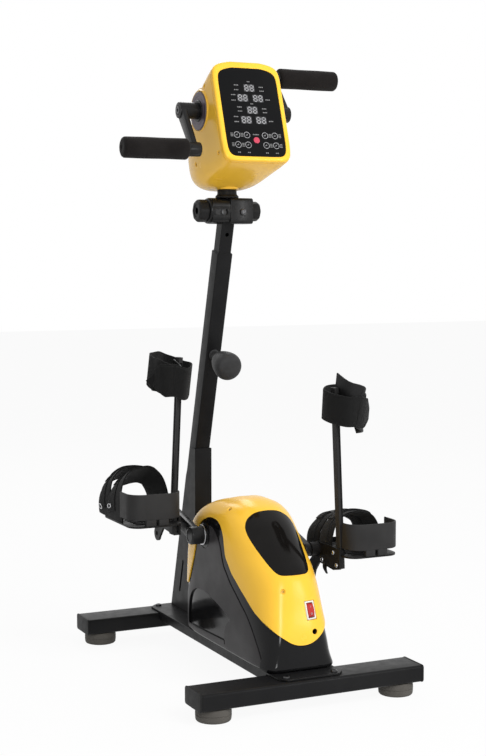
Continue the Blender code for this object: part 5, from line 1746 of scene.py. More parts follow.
@dataclass
class Casing:
    """Moulded casing over the pedal drive."""

    floor_z: float = 0.059
    wall: float = 0.0025
    split: float = 0.00015
    cover_gap: float = 0.0006
    cover_wall: float = 0.0025
    pad_rise: float = 0.0012
    window_gap: float = 0.0004
    window_half: float = 0.049
    window_middle: float = 0.268
    shaft_bore: float = 0.0104
    side_from: float = 0.04
    apron_z: float = 0.15
    rear_squareness: float = 5.0
    recess_depth: float = 0.0018
    rings: Rows = (
        # height, front, rear, half width, squareness of the nose
        (0.059, -0.259, 0.125, 0.066, 7.0),
        (0.067, -0.262, 0.1265, 0.068, 7.0),
        (0.095, -0.263, 0.1255, 0.069, 5.3),
        (0.13, -0.2565, 0.123, 0.0696, 4.0),
        (0.16, -0.248, 0.1195, 0.07, 3.4),
        (0.195, -0.239, 0.114, 0.0706, 2.85),
        (0.219, -0.228, 0.1085, 0.0712, 2.5),
        (0.238, -0.208, 0.101, 0.0716, 2.35),
        (0.258, -0.185, 0.09, 0.0716, 2.25),
        (0.276, -0.164, 0.075, 0.07, 2.2),
        (0.292, -0.146, 0.055, 0.066, 2.15),
        (0.305, -0.129, 0.033, 0.059, 2.1),
        (0.317, -0.11, 0.005, 0.045, 2.1),
        (0.325, -0.085, -0.027, 0.026, 2.1),
    )
    # Edges seen from the side, as (Y, Z)
    cover_edge: Line = ((-0.33, 0.045), (-0.262, 0.092), (-0.253, 0.106), (-0.2332, 0.124),
        (-0.2138, 0.1405), (-0.1939, 0.1575), (-0.1755, 0.1728), (-0.159, 0.1838), (-0.1418, 0.1956),
        (-0.1238, 0.208), (-0.11, 0.2222), (-0.099, 0.2345), (-0.093, 0.2508), (-0.087, 0.267),
        (-0.0765, 0.281), (-0.06, 0.2915), (-0.034, 0.2945), (-0.008, 0.29), (0.018, 0.275), (0.03, 0.25),
        (0.037, 0.23), (0.055, 0.195), (0.079, 0.158))
    panel_edge: Line = ((-0.236, 0.0625), (-0.2284, 0.08), (-0.2117, 0.1031), (-0.1897, 0.1286),
        (-0.1722, 0.1452), (-0.154, 0.1585), (-0.1323, 0.1747), (-0.1134, 0.1883), (-0.0983, 0.2028),
        (-0.0869, 0.2146), (-0.0792, 0.2307), (-0.0733, 0.247), (-0.06, 0.264), (-0.04, 0.2745),
        (-0.014, 0.277), (0.008, 0.267), (0.024, 0.25), (0.032, 0.229), (0.066, 0.166), (0.1, 0.129),
        (0.112, 0.102), (0.114, 0.0625))
    recess_top: Line = ((0.09, 0.0715), (0.087, 0.1), (0.074, 0.127), (0.055, 0.142), (0.033, 0.149),
        (0.005, 0.1505), (-0.02, 0.1475), (-0.0419, 0.1435), (-0.0757, 0.1347), (-0.1, 0.127),
        (-0.1164, 0.1209))
    recess_step: Line = ((-0.1164, 0.1209), (-0.101, 0.113), (-0.09, 0.1), (-0.0862, 0.088),
        (-0.0862, 0.079), (-0.088, 0.078), (-0.0885, 0.07), (-0.085, 0.07), (-0.0848, 0.0765))
    # Lower edge of the cover and the window, seen from the front: half widths and heights
    cover_foot: Line = ((0.0, 0.1032), (0.011, 0.1044), (0.021, 0.1078), (0.0315, 0.114), (0.0458, 0.1248),
        (0.056, 0.1362), (0.0618, 0.1486), (0.0658, 0.1612), (0.0684, 0.1731), (0.0704, 0.186))
    window_edge: Line = ((0.0, 0.3165), (0.014, 0.3155), (0.0274, 0.3118), (0.04, 0.3035), (0.047, 0.293),
        (0.049, 0.283), (0.0484, 0.273), (0.0458, 0.26), (0.042, 0.2466), (0.0372, 0.2331),
        (0.0322, 0.2243), (0.025, 0.2202), (0.012, 0.2195), (0.0, 0.2194))
    switch_at: Point = (0.02, 0.159)
    switch_yaw: float = 13.0
    switch_lean: float = -16.0
    switch_frame: Point = (0.0205, 0.033)
    socket_at: Point = (0.024, 0.124)
    socket_radius: float = 0.005
    crank_at: Point = (-0.004, 0.258)
    boss_radius: float = 0.021
    boss_face: float = 0.076
    cover_screws: Rows = ((-0.0265, -0.2354, 0.1933), (-0.0494, -0.0723, 0.3112), (0.0494, -0.0723, 0.3112))
    crown: Line = ((0.8, 0.0016), (0.52, 0.0029), (0.22, 0.0036))
    hulls: dict[Point, Form] = field(default_factory=dict)

    def build(self) -> None:
        """Build the casing and dress the switch."""
        for side in Side:
            self.half(side)
            self.side_panel(side)
        self.cover_and_window()
        self.screws()
        self.switch()
        self.socket()
        self.nose_lip()
        for form in self.hulls.values():
            form.mesh.free()

    def hull(self, offset: float = 0.0, open_below: float = 0.0) -> Form:
        """Casing form grown by an offset; its foot may reach further down as a cutter.

        Args:
            offset: How far the form is grown.
            open_below: How far the foot reaches down.

        Returns:
            A copy of the form.
        """
        key = (offset, open_below)
        if key not in self.hulls:
            made = []
            for height, front, rear, half_width, nose in between(self.rings, 4):
                reach = (rear - front) / 2 + offset
                outline = egg(half_width + offset, reach, reach, self.rear_squareness, nose,
                    (0, (front + rear) / 2), 112)
                rise = height + offset * (height - self.floor_z) / 0.26
                made.append(Axis.Z.loop(outline, rise))
            made += closing(made[-1], Axis.Z, self.crown)
            made[0] = [point - Vector((0, 0, open_below)) for point in made[0]]
            self.hulls[key] = Form.lofted(made)
        return self.hulls[key].copy()

    def open_edge(self, edge: Sequence[Point], steps: int = 5) -> list[Point]:
        """Smooth line through an open edge's points."""
        return [(row[0], row[1]) for row in between(edge, steps)]

    def place(self) -> Matrix:
        """Switch's frame on the nose; its front looks along local -Y.

        Returns:
            The frame.
        """
        x, z = self.switch_at
        spot = self.on_hull(Vector((x, -0.5, z)), Vector((0, 1, 0)), 0.0)[0]
        return Matrix.Translation(spot) @ turn(self.switch_yaw, Axis.Z) @ turn(self.switch_lean, Axis.X)

    def on_hull(self, start: Vector, way: Vector, offset: float) -> tuple[Vector, Vector]:
        """Where a ray meets the casing's form, and the normal there.

        Args:
            start: Start of the ray.
            way: Its direction.
            offset: How far the form is grown.

        Returns:
            The point and the normal.
        """
        form = self.hull(offset)
        tree = BVHTree.FromBMesh(form.mesh)
        spot, normal, _, _ = tree.ray_cast(start, way)
        form.mesh.free()
        return spot, normal

    def half(self, side: Side) -> None:
        """One half of the black inner casing, with the crank boss.

        Args:
            side: The side.
        """
        y, z = self.crank_at
        bore = self.shaft_bore
        shell = self.hull().cut(self.hull(-self.wall, 0.02))
        box = Form.plate(rounded_box(0.3 - self.split, 0.9, 0.001, (0.15 + self.split / 2, 0)),
            Axis.Z, 0.0, 0.5)
        shell.kept_in(box.sided(side))
        shell.cut(Form.plate(circle((y, z), bore), Axis.X, 0.03, 0.1).sided(side))
        recess = Form.plate(self.recess_outline(), Axis.X, 0.045, 0.1).cut(self.hull(-self.recess_depth))
        shell.cut(recess.sided(side))
        if side is Side.RIGHT:
            shell.cut(self.switch_hole(), self.socket_bore(self.socket_radius - 0.0002))
        r = self.boss_radius
        face = self.boss_face
        shell.add(Form.turned([(bore, 0.066), (r + 0.004, 0.066), (r + 0.003, 0.0722), (r + 0.0012, 0.0736),
            (r, 0.0745), (r - 0.0006, face - 0.0006), (r - 0.0018, face), (bore + 0.001, face),
            (bore, face - 0.001)], Axis.X, (y, z), 72, ring=True).sided(side))
        thing = shell.piece("casing_half_" + side.hand, GLOSS_BLACK, "base", ["casing_" + side.hand],
            crease=38)
        shaded_like(thing, self.hull(), 40)

    def nose_lip(self) -> None:
        """Flared lip round the foot of the nose."""
        rings = []
        height = self.rings[0][0]
        for rise, grown in ((0.0003, 0.004), (0.0012, 0.005), (0.0036, 0.0052), (0.0066, 0.0044),
                (0.011, 0.0031), (0.017, 0.0018), (0.024, 0.0009), (0.033, 0.0002)):
            _, front, rear, half_width, nose = next(row for row in between(self.rings, 4)
                if row[0] >= height + rise)
            reach = (rear - front) / 2 + grown
            outline = egg(half_width + grown, reach, reach, self.rear_squareness, nose,
                (0, (front + rear) / 2), 112)
            rings.append(Axis.Z.loop(outline, height + rise))
        lip = Form.lofted(rings).cut(self.hull(-0.0002, 0.02))
        lip.kept_in(Form.plate([(-0.4, 0.0), (-0.2385, 0.0), (-0.23, 0.1), (-0.4, 0.1)], Axis.X, -0.2, 0.2))
        lip.piece("nose_lip", GLOSS_BLACK, "base", crease=40)

    def recess_outline(self) -> list[Point]:
        """Outline of the step in the side panel."""
        return self.open_edge(self.recess_top)[:-1] + list(self.recess_step)

    def side_panel(self, side: Side) -> None:
        """Grey panel on a half, cut out round the recess.

        Args:
            side: The side.
        """
        layer = self.hull(self.pad_rise).cut(self.hull(0.00008, 0.02))
        layer.kept_in(Form.plate(self.open_edge(self.panel_edge), Axis.X, 0.04, 0.1).sided(side))
        layer.cut(Form.plate(self.recess_outline(), Axis.X, 0.03, 0.1).sided(side))
        y, z = self.crank_at
        layer.cut(Form.plate(circle((y, z), self.boss_radius + 0.0045), Axis.X, 0.03, 0.1).sided(side))
        thing = layer.piece("side_panel_" + side.hand, PANEL_GREY, "base", crease=40)
        shaded_like(thing, self.hull(self.pad_rise), 40)

    def switch_hole(self) -> Form:
        """Cutter of the switch's opening."""
        outline = rounded_box(self.switch_frame[0] + 0.0006, self.switch_frame[1] + 0.0006, 0.0012)
        return Form.plate(outline, Axis.Y, -0.03, 0.03).moved(self.place())

    def socket_bore(self, radius: float) -> Form:
        """Cutter of the socket's hole."""
        return Form.plate(circle(self.socket_at, radius, 32), Axis.Y, -0.4, -0.2)

    def window_outline(self, gap: float = 0.0) -> list[Point]:
        """Window seen from the front.

        Args:
            gap: How much smaller it is drawn.

        Returns:
            The outline.
        """
        right = self.open_edge(self.window_edge, 4)
        scale = (self.window_half - gap) / self.window_half
        half = [(x * scale, self.window_middle + (z - self.window_middle) * scale) for x, z in right]
        return half + [(-x, z) for x, z in half[-2:0:-1]]

    def foot_cut(self) -> Form:
        """Cutter below the cover's rounded lower end, seen from the front.

        Returns:
            The cutter.
        """
        right = self.open_edge(self.cover_foot, 4)
        outline = [(-x, z) for x, z in right[:0:-1]] + right
        edge = right[-1][0]
        return Form.plate(outline + [(edge, 0.0), (-edge, 0.0)], Axis.Y, -0.4, -0.168)

    def cover_and_window(self) -> None:
        """Yellow top cover and the smoked window in it."""
        outside = self.cover_gap + self.cover_wall
        layer = self.hull(outside).cut(self.hull(self.cover_gap, 0.02))
        side_cut = self.open_edge(self.cover_edge) + [(0.084, self.apron_z), (0.3, self.apron_z), (0.3, 0),
            (-0.33, 0)]
        for side in Side:
            layer.cut(Form.plate(side_cut, Axis.X, self.side_from, 0.2).sided(side))
        middle = [(-0.17, 0.0), (0.4, 0.0), (0.4, self.apron_z), (-0.17, self.apron_z)]
        layer.cut(Form.plate(middle, Axis.X, -self.side_from - 0.001, self.side_from + 0.001))
        layer.cut(self.foot_cut())
        window = layer.copy()
        layer.cut(Form.plate(self.window_outline(), Axis.Y, -0.4, -0.06))
        layer.cut(self.switch_hole(), self.socket_bore(self.socket_radius))
        for place in self.screw_places():
            layer.cut(screw_well(0.0034, 0.005, 0.0019, place))
        guide = self.hull(outside)
        shaded_like(layer.piece("cover_moulding", YELLOW, "base", ["top_cover"], crease=40), guide, 45)
        window.kept_in(Form.plate(self.window_outline(self.window_gap), Axis.Y, -0.4, -0.06))
        shaded_like(window.piece("smoked_pane", SMOKED, "base", ["window"], crease=40), guide, 45)
        guide.mesh.free()

    def screw_places(self) -> list[Matrix]:
        """Frames of the cover's screws; X points out of the cover.

        Returns:
            The frames.
        """
        form = self.hull(self.cover_gap + self.cover_wall)
        tree = BVHTree.FromBMesh(form.mesh)
        found = []
        for spot in self.cover_screws:
            near, normal, _, _ = tree.find_nearest(Vector(spot))
            found.append(facing(near, normal))
        form.mesh.free()
        return found

    def screws(self) -> None:
        """Screws that hold the cover."""
        form = Form()
        for place in self.screw_places():
            form.add(screw(0.0026, 0.0011).moved(place @ shift(-0.00185, 0, 0)))
        form.piece("cover_screws", ZINC, "base")

    def switch(self) -> None:
        """Dress the switch and put its two marks on."""
        dressed("power_switch", RED, 0.0005)
        place = self.place()
        width, height = (side - 0.0006 for side in self.switch_frame)
        rings = []
        for reach, y in ((0.0, 0.0125), (0.0, -0.002), (0.0003, -0.003), (0.001, -0.0035)):
            outline = rounded_box(width - 2 * reach, height - 2 * reach, 0.0014)
            rings.append(Axis.Y.loop(outline, y))
        for reach, y in ((0.0004, -0.0035), (0.0, -0.0031), (0.0, 0.0125)):
            outline = rounded_box(0.0142 + 2 * reach, 0.0266 + 2 * reach, 0.0008)
            rings.append(Axis.Y.loop(outline, y))
        Form.lofted(rings, ring=True).piece("switch_bezel", PALE, "base", ["switch_frame"], crease=40,
            place=place)
        marks = Form.plate(rounded_box(0.0006, 0.003, 0.0002, (0, 0.0062)), Axis.Y, -0.0056, -0.0044)
        marks.add(Form.turned([(0.0011, -0.0056), (0.0016, -0.0056), (0.0016, -0.0044), (0.0011, -0.0044)],
            Axis.Y, (0, -0.0062), 24, ring=True))
        marks.piece("switch_marks", INK_WHITE, "power_switch", place=place @ shift(0, 0.0004, 0))

    def socket(self) -> None:
        """Small round socket below the switch."""
        x, z = self.socket_at
        face = self.on_hull(Vector((x, -0.5, z)), Vector((0, 1, 0)), self.cover_gap)[0].y
        r = self.socket_radius - 0.0004
        profile = [(r, face), (r, face + 0.0095), (0, face + 0.0095), (0, face + 0.0085),
            (r - 0.001, face + 0.0085), (r - 0.001, face + 0.0004), (r - 0.0006, face)]
        tube = Form.turned(profile, Axis.Y, (x, z), 36, ring=True)
        # The cup inside the hole is coloured near black: painted shade in the socket
        tube.piece("small_socket", HOLE_PAINTED_SHADE, "base")


@dataclass
class PedalCrank:
    """Crank arms with hubs, and the drive in the casing."""

    hub_radius: float = 0.0165
    hub_from: float = 0.0763
    hub_to: float = 0.103
    arm_x: float = 0.09
    arm_thickness: float = 0.014
    end_radius: float = 0.0125
    axle_end: float = 0.1165
    radius: float = 0.1

    def build(self) -> None:
        """Build the arms and dress the drive."""
        dressed("crank_shaft", STEEL)
        dressed("crank_pulley", MATT_BLACK, 0.0004)
        dressed("motor_pulley", CAST, 0.0003)
        dressed("drive_belt", MATT_BLACK)
        dressed("drive_motor", CAST, 0.0008)
        for side in Side:
            self.arm(side)

    def arm(self, side: Side) -> None:
        """Crank arm, drawn for +X; the left one points ahead.

        Args:
            side: The side.
        """
        reach = -side.value * self.radius
        near = self.arm_x - self.arm_thickness / 2
        far = self.arm_x + self.arm_thickness / 2
        web = wrapped((0, 0), self.hub_radius - 0.0015, (reach, 0), self.end_radius, 20)
        arm = Form.plate(web, Axis.X, near, far).eased(0.0028, 3, 50)
        r, low, high = self.hub_radius, self.hub_from, self.hub_to
        arm.add(Form.turned([(0, high - 0.0047), (0.0103, high - 0.0047), (0.0103, low), (r - 0.0012, low),
            (r, low + 0.0012), (r, high - 0.0032), (r - 0.0006, high - 0.0016), (r - 0.002, high - 0.0004),
            (r - 0.0045, high), (r - 0.005, high - 0.0008), (0.003, high - 0.0008), (0, high - 0.0008)],
            Axis.X, steps=56))
        arm.add(Form.turned([(0, far - 0.004), (0.006, far - 0.004), (0.006, self.axle_end - 0.0006),
            (0.0054, self.axle_end), (0, self.axle_end)], Axis.X, (reach, 0), 32))
        arm.add(Form.turned([(0, near + 0.002), (0.0062, near + 0.002), (0.0062, near - 0.001),
            (0.0054, near - 0.0016), (0.003, near - 0.0016), (0.003, near - 0.0002), (0, near - 0.0002)],
            Axis.X, (reach, 0), 24))
        arm.sided(side).piece("pedal_crank_arm_" + side.hand, SATIN_BLACK, "pedal_crank",
            ["pedal_arm_" + side.hand], crease=40, place=PLACES.pedal_crank())
        ring = Form.turned([(r + 0.0001, 0.0766), (r + 0.0026, 0.0766), (r + 0.0026, 0.0782),
            (r + 0.002, 0.0788), (r + 0.0001, 0.0788)], Axis.X, steps=56, ring=True)
        ring.sided(side).piece("hub_ring_" + side.hand, STEEL, "pedal_crank", place=PLACES.pedal_crank())


@dataclass
class Pedal:
    """One foot cradle with its straps, calf rod, cuff and strap."""

    side: Side
    toe_rise: float
    instep_rise: float
    toe_y: float = 0.032
    toe_width: float = 0.034
    instep_y: float = -0.016
    mat_ribs: int = 9
    rib_from: float = -0.088
    rib_pitch: float = 0.0135
    webbing_share: float = 0.72
    lap_share: float = 0.66
    tail_width: float = 0.018
    wrap_from: float = -62
    wrap_turn: float = 404
    plate_x: float = 0.114
    plate: float = 0.004
    bolts: Line = ((-0.073, -0.018), (-0.06, 0.003), (-0.018, -0.017))
    foot_x: float = 0.1183
    foot_width: float = 0.104
    foot_top: float = 0.0025
    strap_thickness: float = 0.0025
    pad_thickness: float = 0.0062
    heel_low: float = 0.0135
    heel_height: float = 0.0475
    heel_sheet: float = 0.003
    heel_back: float = 0.117
    heel_corner: float = 0.028
    rod_at: Spot = (0.1238, -0.07, -0.01)
    rod_lean: float = 2.5
    rod_to_cuff: float = 0.281
    cuff_tilt: float = 10.0
    cuff_offset: float = 0.017
    cuff_half: Point = (0.0345, 0.0365)
    cuff_sheet: float = 0.0035
    cuff_height: float = 0.076
    wrap_width: float = 0.056
    wrap_thickness: float = 0.003
    cuff_fall: float = 0.026
    cuff_slump: float = 0.12
    folds: float = 0.0007
    instep_width: float = 0.05
    foot_slope: float = 0.6
    outer_spread: float = 0.6
    # Hanging strap ends: place on the footplate, drop and sideways bend
    hanging: Rows = ()

    @property
    def body(self) -> str:
        """Body of the foot cradle."""
        return "pedal_" + self.side.hand

    def build(self) -> None:
        """Build the pedal."""
        dressed("pedal_bracket_" + self.side.hand, BLACK_STEEL, 0.0006)
        dressed("footplate_" + self.side.hand, BLACK_STEEL, 0.0006)
        self.fasteners()
        self.mat()
        self.heel()
        self.strap("toe", self.toe_y, self.toe_width, self.toe_rise)
        self.strap("instep", self.instep_y, self.instep_width, self.instep_rise)
        self.rings()
        self.tails()
        dressed("calf_rod_" + self.side.hand, DARK_GREY, 0.0006)
        self.cuff()
        self.wrap()

    def put(self, form: Form, name: str, finish: Finish, nodes: Sequence[str] = (),
            crease: float = 40.0) -> bpy.types.Object:
        """Place a form drawn for +X in the axle's frame."""
        return form.sided(self.side).piece(f"{name}_{self.side.hand}", finish, self.body, nodes, crease,
            PLACES.pedal(self.side))

    def fasteners(self) -> None:
        """Bolts through the bracket, their heads toward the casing, and the axle's washer."""
        heads = Form()
        inner = self.plate_x - HAIR
        for y, z in self.bolts:
            dome = [(0, inner + 0.001), (0.0042, inner + 0.001), (0.0042, inner - 0.0008),
                (0.0036, inner - 0.002), (0.0018, inner - 0.0026), (0, inner - 0.0027)]
            heads.add(Form.turned(dome, Axis.X, (y, z), 24))
        self.put(heads, "bracket_bolts", STEEL)
        washer = Form.turned([(0.0066, self.plate_x + self.plate), (0.0105, self.plate_x + self.plate),
            (0.0105, self.plate_x + self.plate + 0.00028), (0.0066, self.plate_x + self.plate + 0.00028)],
            Axis.X, steps=36, ring=True)
        self.put(washer, "axle_washer", STEEL)

    def mat(self) -> None:
        """Ribbed rubber mat on the footplate."""
        ribs = Form()
        middle = self.foot_x + self.foot_width / 2
        for index in range(self.mat_ribs):
            y = self.rib_from + self.rib_pitch * index
            outline = rounded_box(self.foot_width - 0.034, 0.004, 0.0016, (middle, y), 4)
            ribs.add(Form.plate(outline, Axis.Z, self.foot_top - 0.0002,
                self.foot_top + 0.0012).eased(0.0004, 1, 50))
        self.put(ribs, "foot_mat_ribs", MATT_BLACK)

    def heel(self) -> None:
        """Band round the heel on its two lugs."""
        left = self.foot_x + 0.00225 + self.heel_sheet / 2
        right = self.foot_x + self.foot_width + 0.002 - self.heel_sheet / 2
        back = -self.heel_back + self.heel_sheet / 2
        r = self.heel_corner
        path = [(left, -0.08), (left, -0.084)] + arc((left + r, back + r), r, 180, 270, 16)
        path += arc((right - r, back + r), r, 270, 360, 16) + [(right, -0.075), (right, -0.058)]
        middle = self.heel_low + self.heel_height / 2
        line = [Vector((x, y, middle)) for x, y in path]
        section = Axis.Y.loop(rounded_box(self.heel_sheet, self.heel_height, 0.0014, steps=4), 0)
        band = Form.swept(section, stations(line, Vector((0, 0, 1))))
        for x in (left + r + 0.01, right - r - 0.01):
            lug = Form.plate(rounded_box(0.02, 0.012, 0.002, (x, -self.heel_back + 0.0065), 4), Axis.Z,
                self.foot_top + 0.0003, self.heel_low + 0.004).eased(0.0006, 2, 50)
            band.add(lug)
        self.put(band, "heel_cup", DARK_GREY, ["heel_band_" + self.side.hand])

    def arch(self, rise: float, y: float, out: float = 0.0) -> list[Vector]:
        """Middle line of a strap over the foot, bellied to the outer side and with a little slack in it.

        Args:
            rise: Its height over the foot.
            y: Its place along the machine.
            out: Distance outward from the strap's line.

        Returns:
            The line.
        """
        low = self.foot_top + 0.0003
        start, end = self.foot_x + 0.004, self.foot_x + self.foot_width - 0.004
        centre = (start + end) / 2
        half = (end - start) / 2 - self.strap_thickness / 2 + out
        line = []
        for step in range(73):
            angle = math.pi * (1 - step / 72)
            slack = 0.001 * math.sin(4 * angle + y * 90)
            belly = 0.0075 * math.sin(angle) * max(math.cos(angle), 0) * 2
            line.append(Vector((centre + half * power(math.cos(angle), 0.86) + belly, y + slack,
                low + (rise + out) * power(math.sin(angle), 0.86) + 0.0006 * math.sin(9 * angle + y * 60))))
        return line

    def pad_section(self, width: float, thickness: float, edge: float) -> list[Vector]:
        """Section of a padded band: full in the middle and thin at its sewn edges.

        Args:
            width: Its width.
            thickness: Its thickness.
            edge: Thickness at its edges.

        Returns:
            Points of the section.
        """
        outer, inner = [], []
        for step in range(17):
            share = -1 + 2 * step / 16
            swell = (1 - abs(share) ** 3.2) * (thickness - edge) / 2 + edge / 2
            outer.append(Vector((swell, 0, share * width / 2)))
            inner.append(Vector((-swell, 0, -share * width / 2)))
        return outer + inner

    def strap(self, name: str, y: float, width: float, rise: float) -> None:
        """Padded band over the foot with a webbing strap sewn along it and its loose end.

        Args:
            name: Name of the piece.
            y: Its place along the machine.
            width: Width of its webbing.
            rise: Its height over the foot.
        """
        padded = width + 0.014

        def along_foot(point: Vector) -> Vector:
            """The band lies along the slope of the foot's upper side."""
            high = min(max((point.z - self.foot_top) / rise, 0.0), 1.0)
            return point - Vector((0, 0, self.foot_slope * (point.y - y) * high ** 0.8))

        def widened(frames: list[Matrix]) -> list[Matrix]:
            """The band is wider on the outer side.

            Args:
                frames: Frames along the band.

            Returns:
                The wider frames.
            """
            last = len(frames) - 1
            return [frame @ Matrix.Diagonal((1, 1, 1 + self.outer_spread * max(index / last - 0.45, 0), 1))
                for index, frame in enumerate(frames)]

        section = self.pad_section(padded, self.pad_thickness, 0.0022)
        lift = self.pad_thickness / 2 - self.strap_thickness / 2
        frames = widened(stations(self.arch(rise, y, lift), Vector((0, 1, 0))))
        thing = self.put(Form.swept(section, frames).shaped(along_foot), name + "_padding", LINING,
            [f"{name}_strap_{self.side.hand}"], 60)
        finish = webbing(f"{name}_webbing", width * self.webbing_share)
        over = self.arch(rise, y, self.pad_thickness - self.strap_thickness / 2 + 0.0012)
        band = Form.swept(strip_section(0.0019, width * self.webbing_share),
            stations(over[3:70], Vector((0, 1, 0))))
        self.put(band.shaped(along_foot), name + "_webbing", finish)
        lap = self.arch(rise, y, self.pad_thickness + 0.0022)[20:50]
        lap += [lap[-1] + Vector((0.003, 0.0006, -0.0035)), lap[-1] + Vector((0.007, 0.0014, -0.0066))]
        self.put(Form.swept(strip_section(0.0018, width * self.lap_share),
            stations(lap, Vector((0, 1, 0)))).shaped(along_foot), name + "_strap_end", finish)

    def tails(self) -> None:
        """Loose strap ends that hang below the cradle."""
        if not self.hanging:
            return
        finish = webbing("tail_webbing", self.tail_width)
        hung = Form()
        for x, y, drop, bend in self.hanging:
            path = [(x, y, -0.0015), (x - 0.001, y, -0.008),
                (x + 0.0012, y + bend * 0.3, -0.4 * drop - 0.004),
                (x - 0.0008, y + bend * 0.7, -0.72 * drop - 0.003),
                (x + 0.0026, y + bend, -drop)]
            frames = stations(smooth_path(path), Vector((0.12, 1, 0.1)))
            count = len(frames) - 1
            tapered = [frame @ Matrix.Diagonal((1, 1, 1 - 0.55 * max(index / count - 0.8, 0) / 0.2, 1))
                for index, frame in enumerate(frames)]
            hung.add(Form.swept(strip_section(0.0018, self.tail_width), tapered))
        self.put(hung, "strap_tails", finish)

    def rings(self) -> None:
        """Metal loops that the straps run through on the outer side."""
        loops = Form()
        x = self.foot_x + self.foot_width + 0.0045
        for y, z, tip in ((0.034, 0.02, 14), (-0.014, 0.028, -10)):
            wire = [(0.0052 + dx, dz) for dx, dz in circle((0, 0), 0.0009, 10)]
            ring = Form.turned(wire, Axis.X, steps=36, ring=True)
            bmesh.ops.scale(ring.mesh, vec=(1, 1.5, 0.72), verts=ring.mesh.verts)
            loops.add(ring.moved(shift(x + 0.0022, y, z) @ turn(tip, Axis.X)))
        self.put(loops, "strap_loops", STEEL)

    def rod_frame(self) -> Matrix:
        """Frame of the calf rod."""
        x, y, z = self.rod_at
        return (PLACES.pedal(self.side) @ shift(self.side.value * x, y, z)
            @ turn(-self.side.value * self.rod_lean, Axis.Y))

    def cuff_frame(self) -> Matrix:
        """Frame of the cuff on its rod."""
        return self.rod_frame() @ shift(0, 0, self.rod_to_cuff)

    def oval(self, grown: float, start: float, end: float, steps: int) -> list[Point]:
        """Part of the cuff's oval, grown.

        Args:
            grown: How far the oval is grown.
            start: Angle that it starts at.
            end: Angle that it ends at.
            steps: Number of steps.

        Returns:
            The points.
        """
        points = []
        for step in range(steps + 1):
            angle = math.radians(start + (end - start) * step / steps)
            points.append((self.cuff_offset + (self.cuff_half[0] + grown) * math.cos(angle),
                (self.cuff_half[1] + grown) * math.sin(angle)))
        return points

    def slumped(self, point: Vector) -> Vector:
        """The cuff's parts hang lower towards the machine's front right."""
        right = 0.9 * self.side.value * (point.x - self.cuff_offset) - 0.43 * point.y
        return point - Vector((0, 0, self.cuff_slump * right))

    def cuff(self) -> None:
        """Shaped cuff on its slider, with a soft lining."""
        wall_x = 0.0045 + 0.0003 + self.cuff_sheet / 2
        path = [(wall_x, 0.014), (wall_x, 0.001), (wall_x, -0.012), (wall_x + 0.001, -0.022),
            (wall_x + 0.004, -0.03)] + self.oval(-self.cuff_sheet / 2, -86, 38, 28)
        line = [Vector((x, y, self.cuff_fall * (0.5 - index / (len(path) - 1))))
            for index, (x, y) in enumerate(path)]
        section = Axis.Y.loop(rounded_box(self.cuff_sheet, self.cuff_height, 0.0016, steps=4), 0)
        shell = Form.swept(section, stations(line, Vector((0, 0, 1)))).shaped(self.slumped)
        shell.moved(turn(self.cuff_tilt, Axis.X))
        block = Form.plate(rounded_box(0.015, 0.0236, 0.002, (-0.0008, 0)), Axis.Z, -0.015, 0.015)
        block.eased(0.0008, 2, 50)
        block.cut(Form.plate(rounded_box(0.0096, 0.0176, 0.0015), Axis.Z, -0.03, 0.03))
        shell.add(block)
        body = "calf_" + self.side.hand
        shell.sided(self.side).piece("calf_shell_" + self.side.hand, MATT_BLACK, body,
            ["calf_cuff_" + self.side.hand], crease=40, place=self.cuff_frame())
        pad_line = [Vector((x, y, self.cuff_fall * (0.35 - 0.85 * index / 30)))
            for index, (x, y) in enumerate(self.oval(-self.cuff_sheet - 0.0021, -80, 34, 30))]
        pad_section = Axis.Y.loop(rounded_box(0.0038, self.cuff_height - 0.006, 0.0018, steps=4), 0)
        pad = Form.swept(pad_section, stations(pad_line, Vector((0, 0, 1)))).shaped(self.slumped)
        pad.moved(turn(self.cuff_tilt, Axis.X))
        thing = pad.sided(self.side).piece("calf_lining_" + self.side.hand, LINING, body, crease=60,
            place=self.cuff_frame())

    def crumpled(self, point: Vector) -> Vector:
        """Soft cloth: its edges wave up and down.

        Args:
            point: The old place.

        Returns:
            The new place.
        """
        share = point.z / self.wrap_width
        around = math.atan2(point.y, point.x - self.cuff_offset)
        wave = -math.sin(3 * around + 1.1) - 0.5 * math.sin(7 * around + 2.0)
        return point + Vector((0, 0, 0.75 * self.folds * wave * abs(share) * 2))

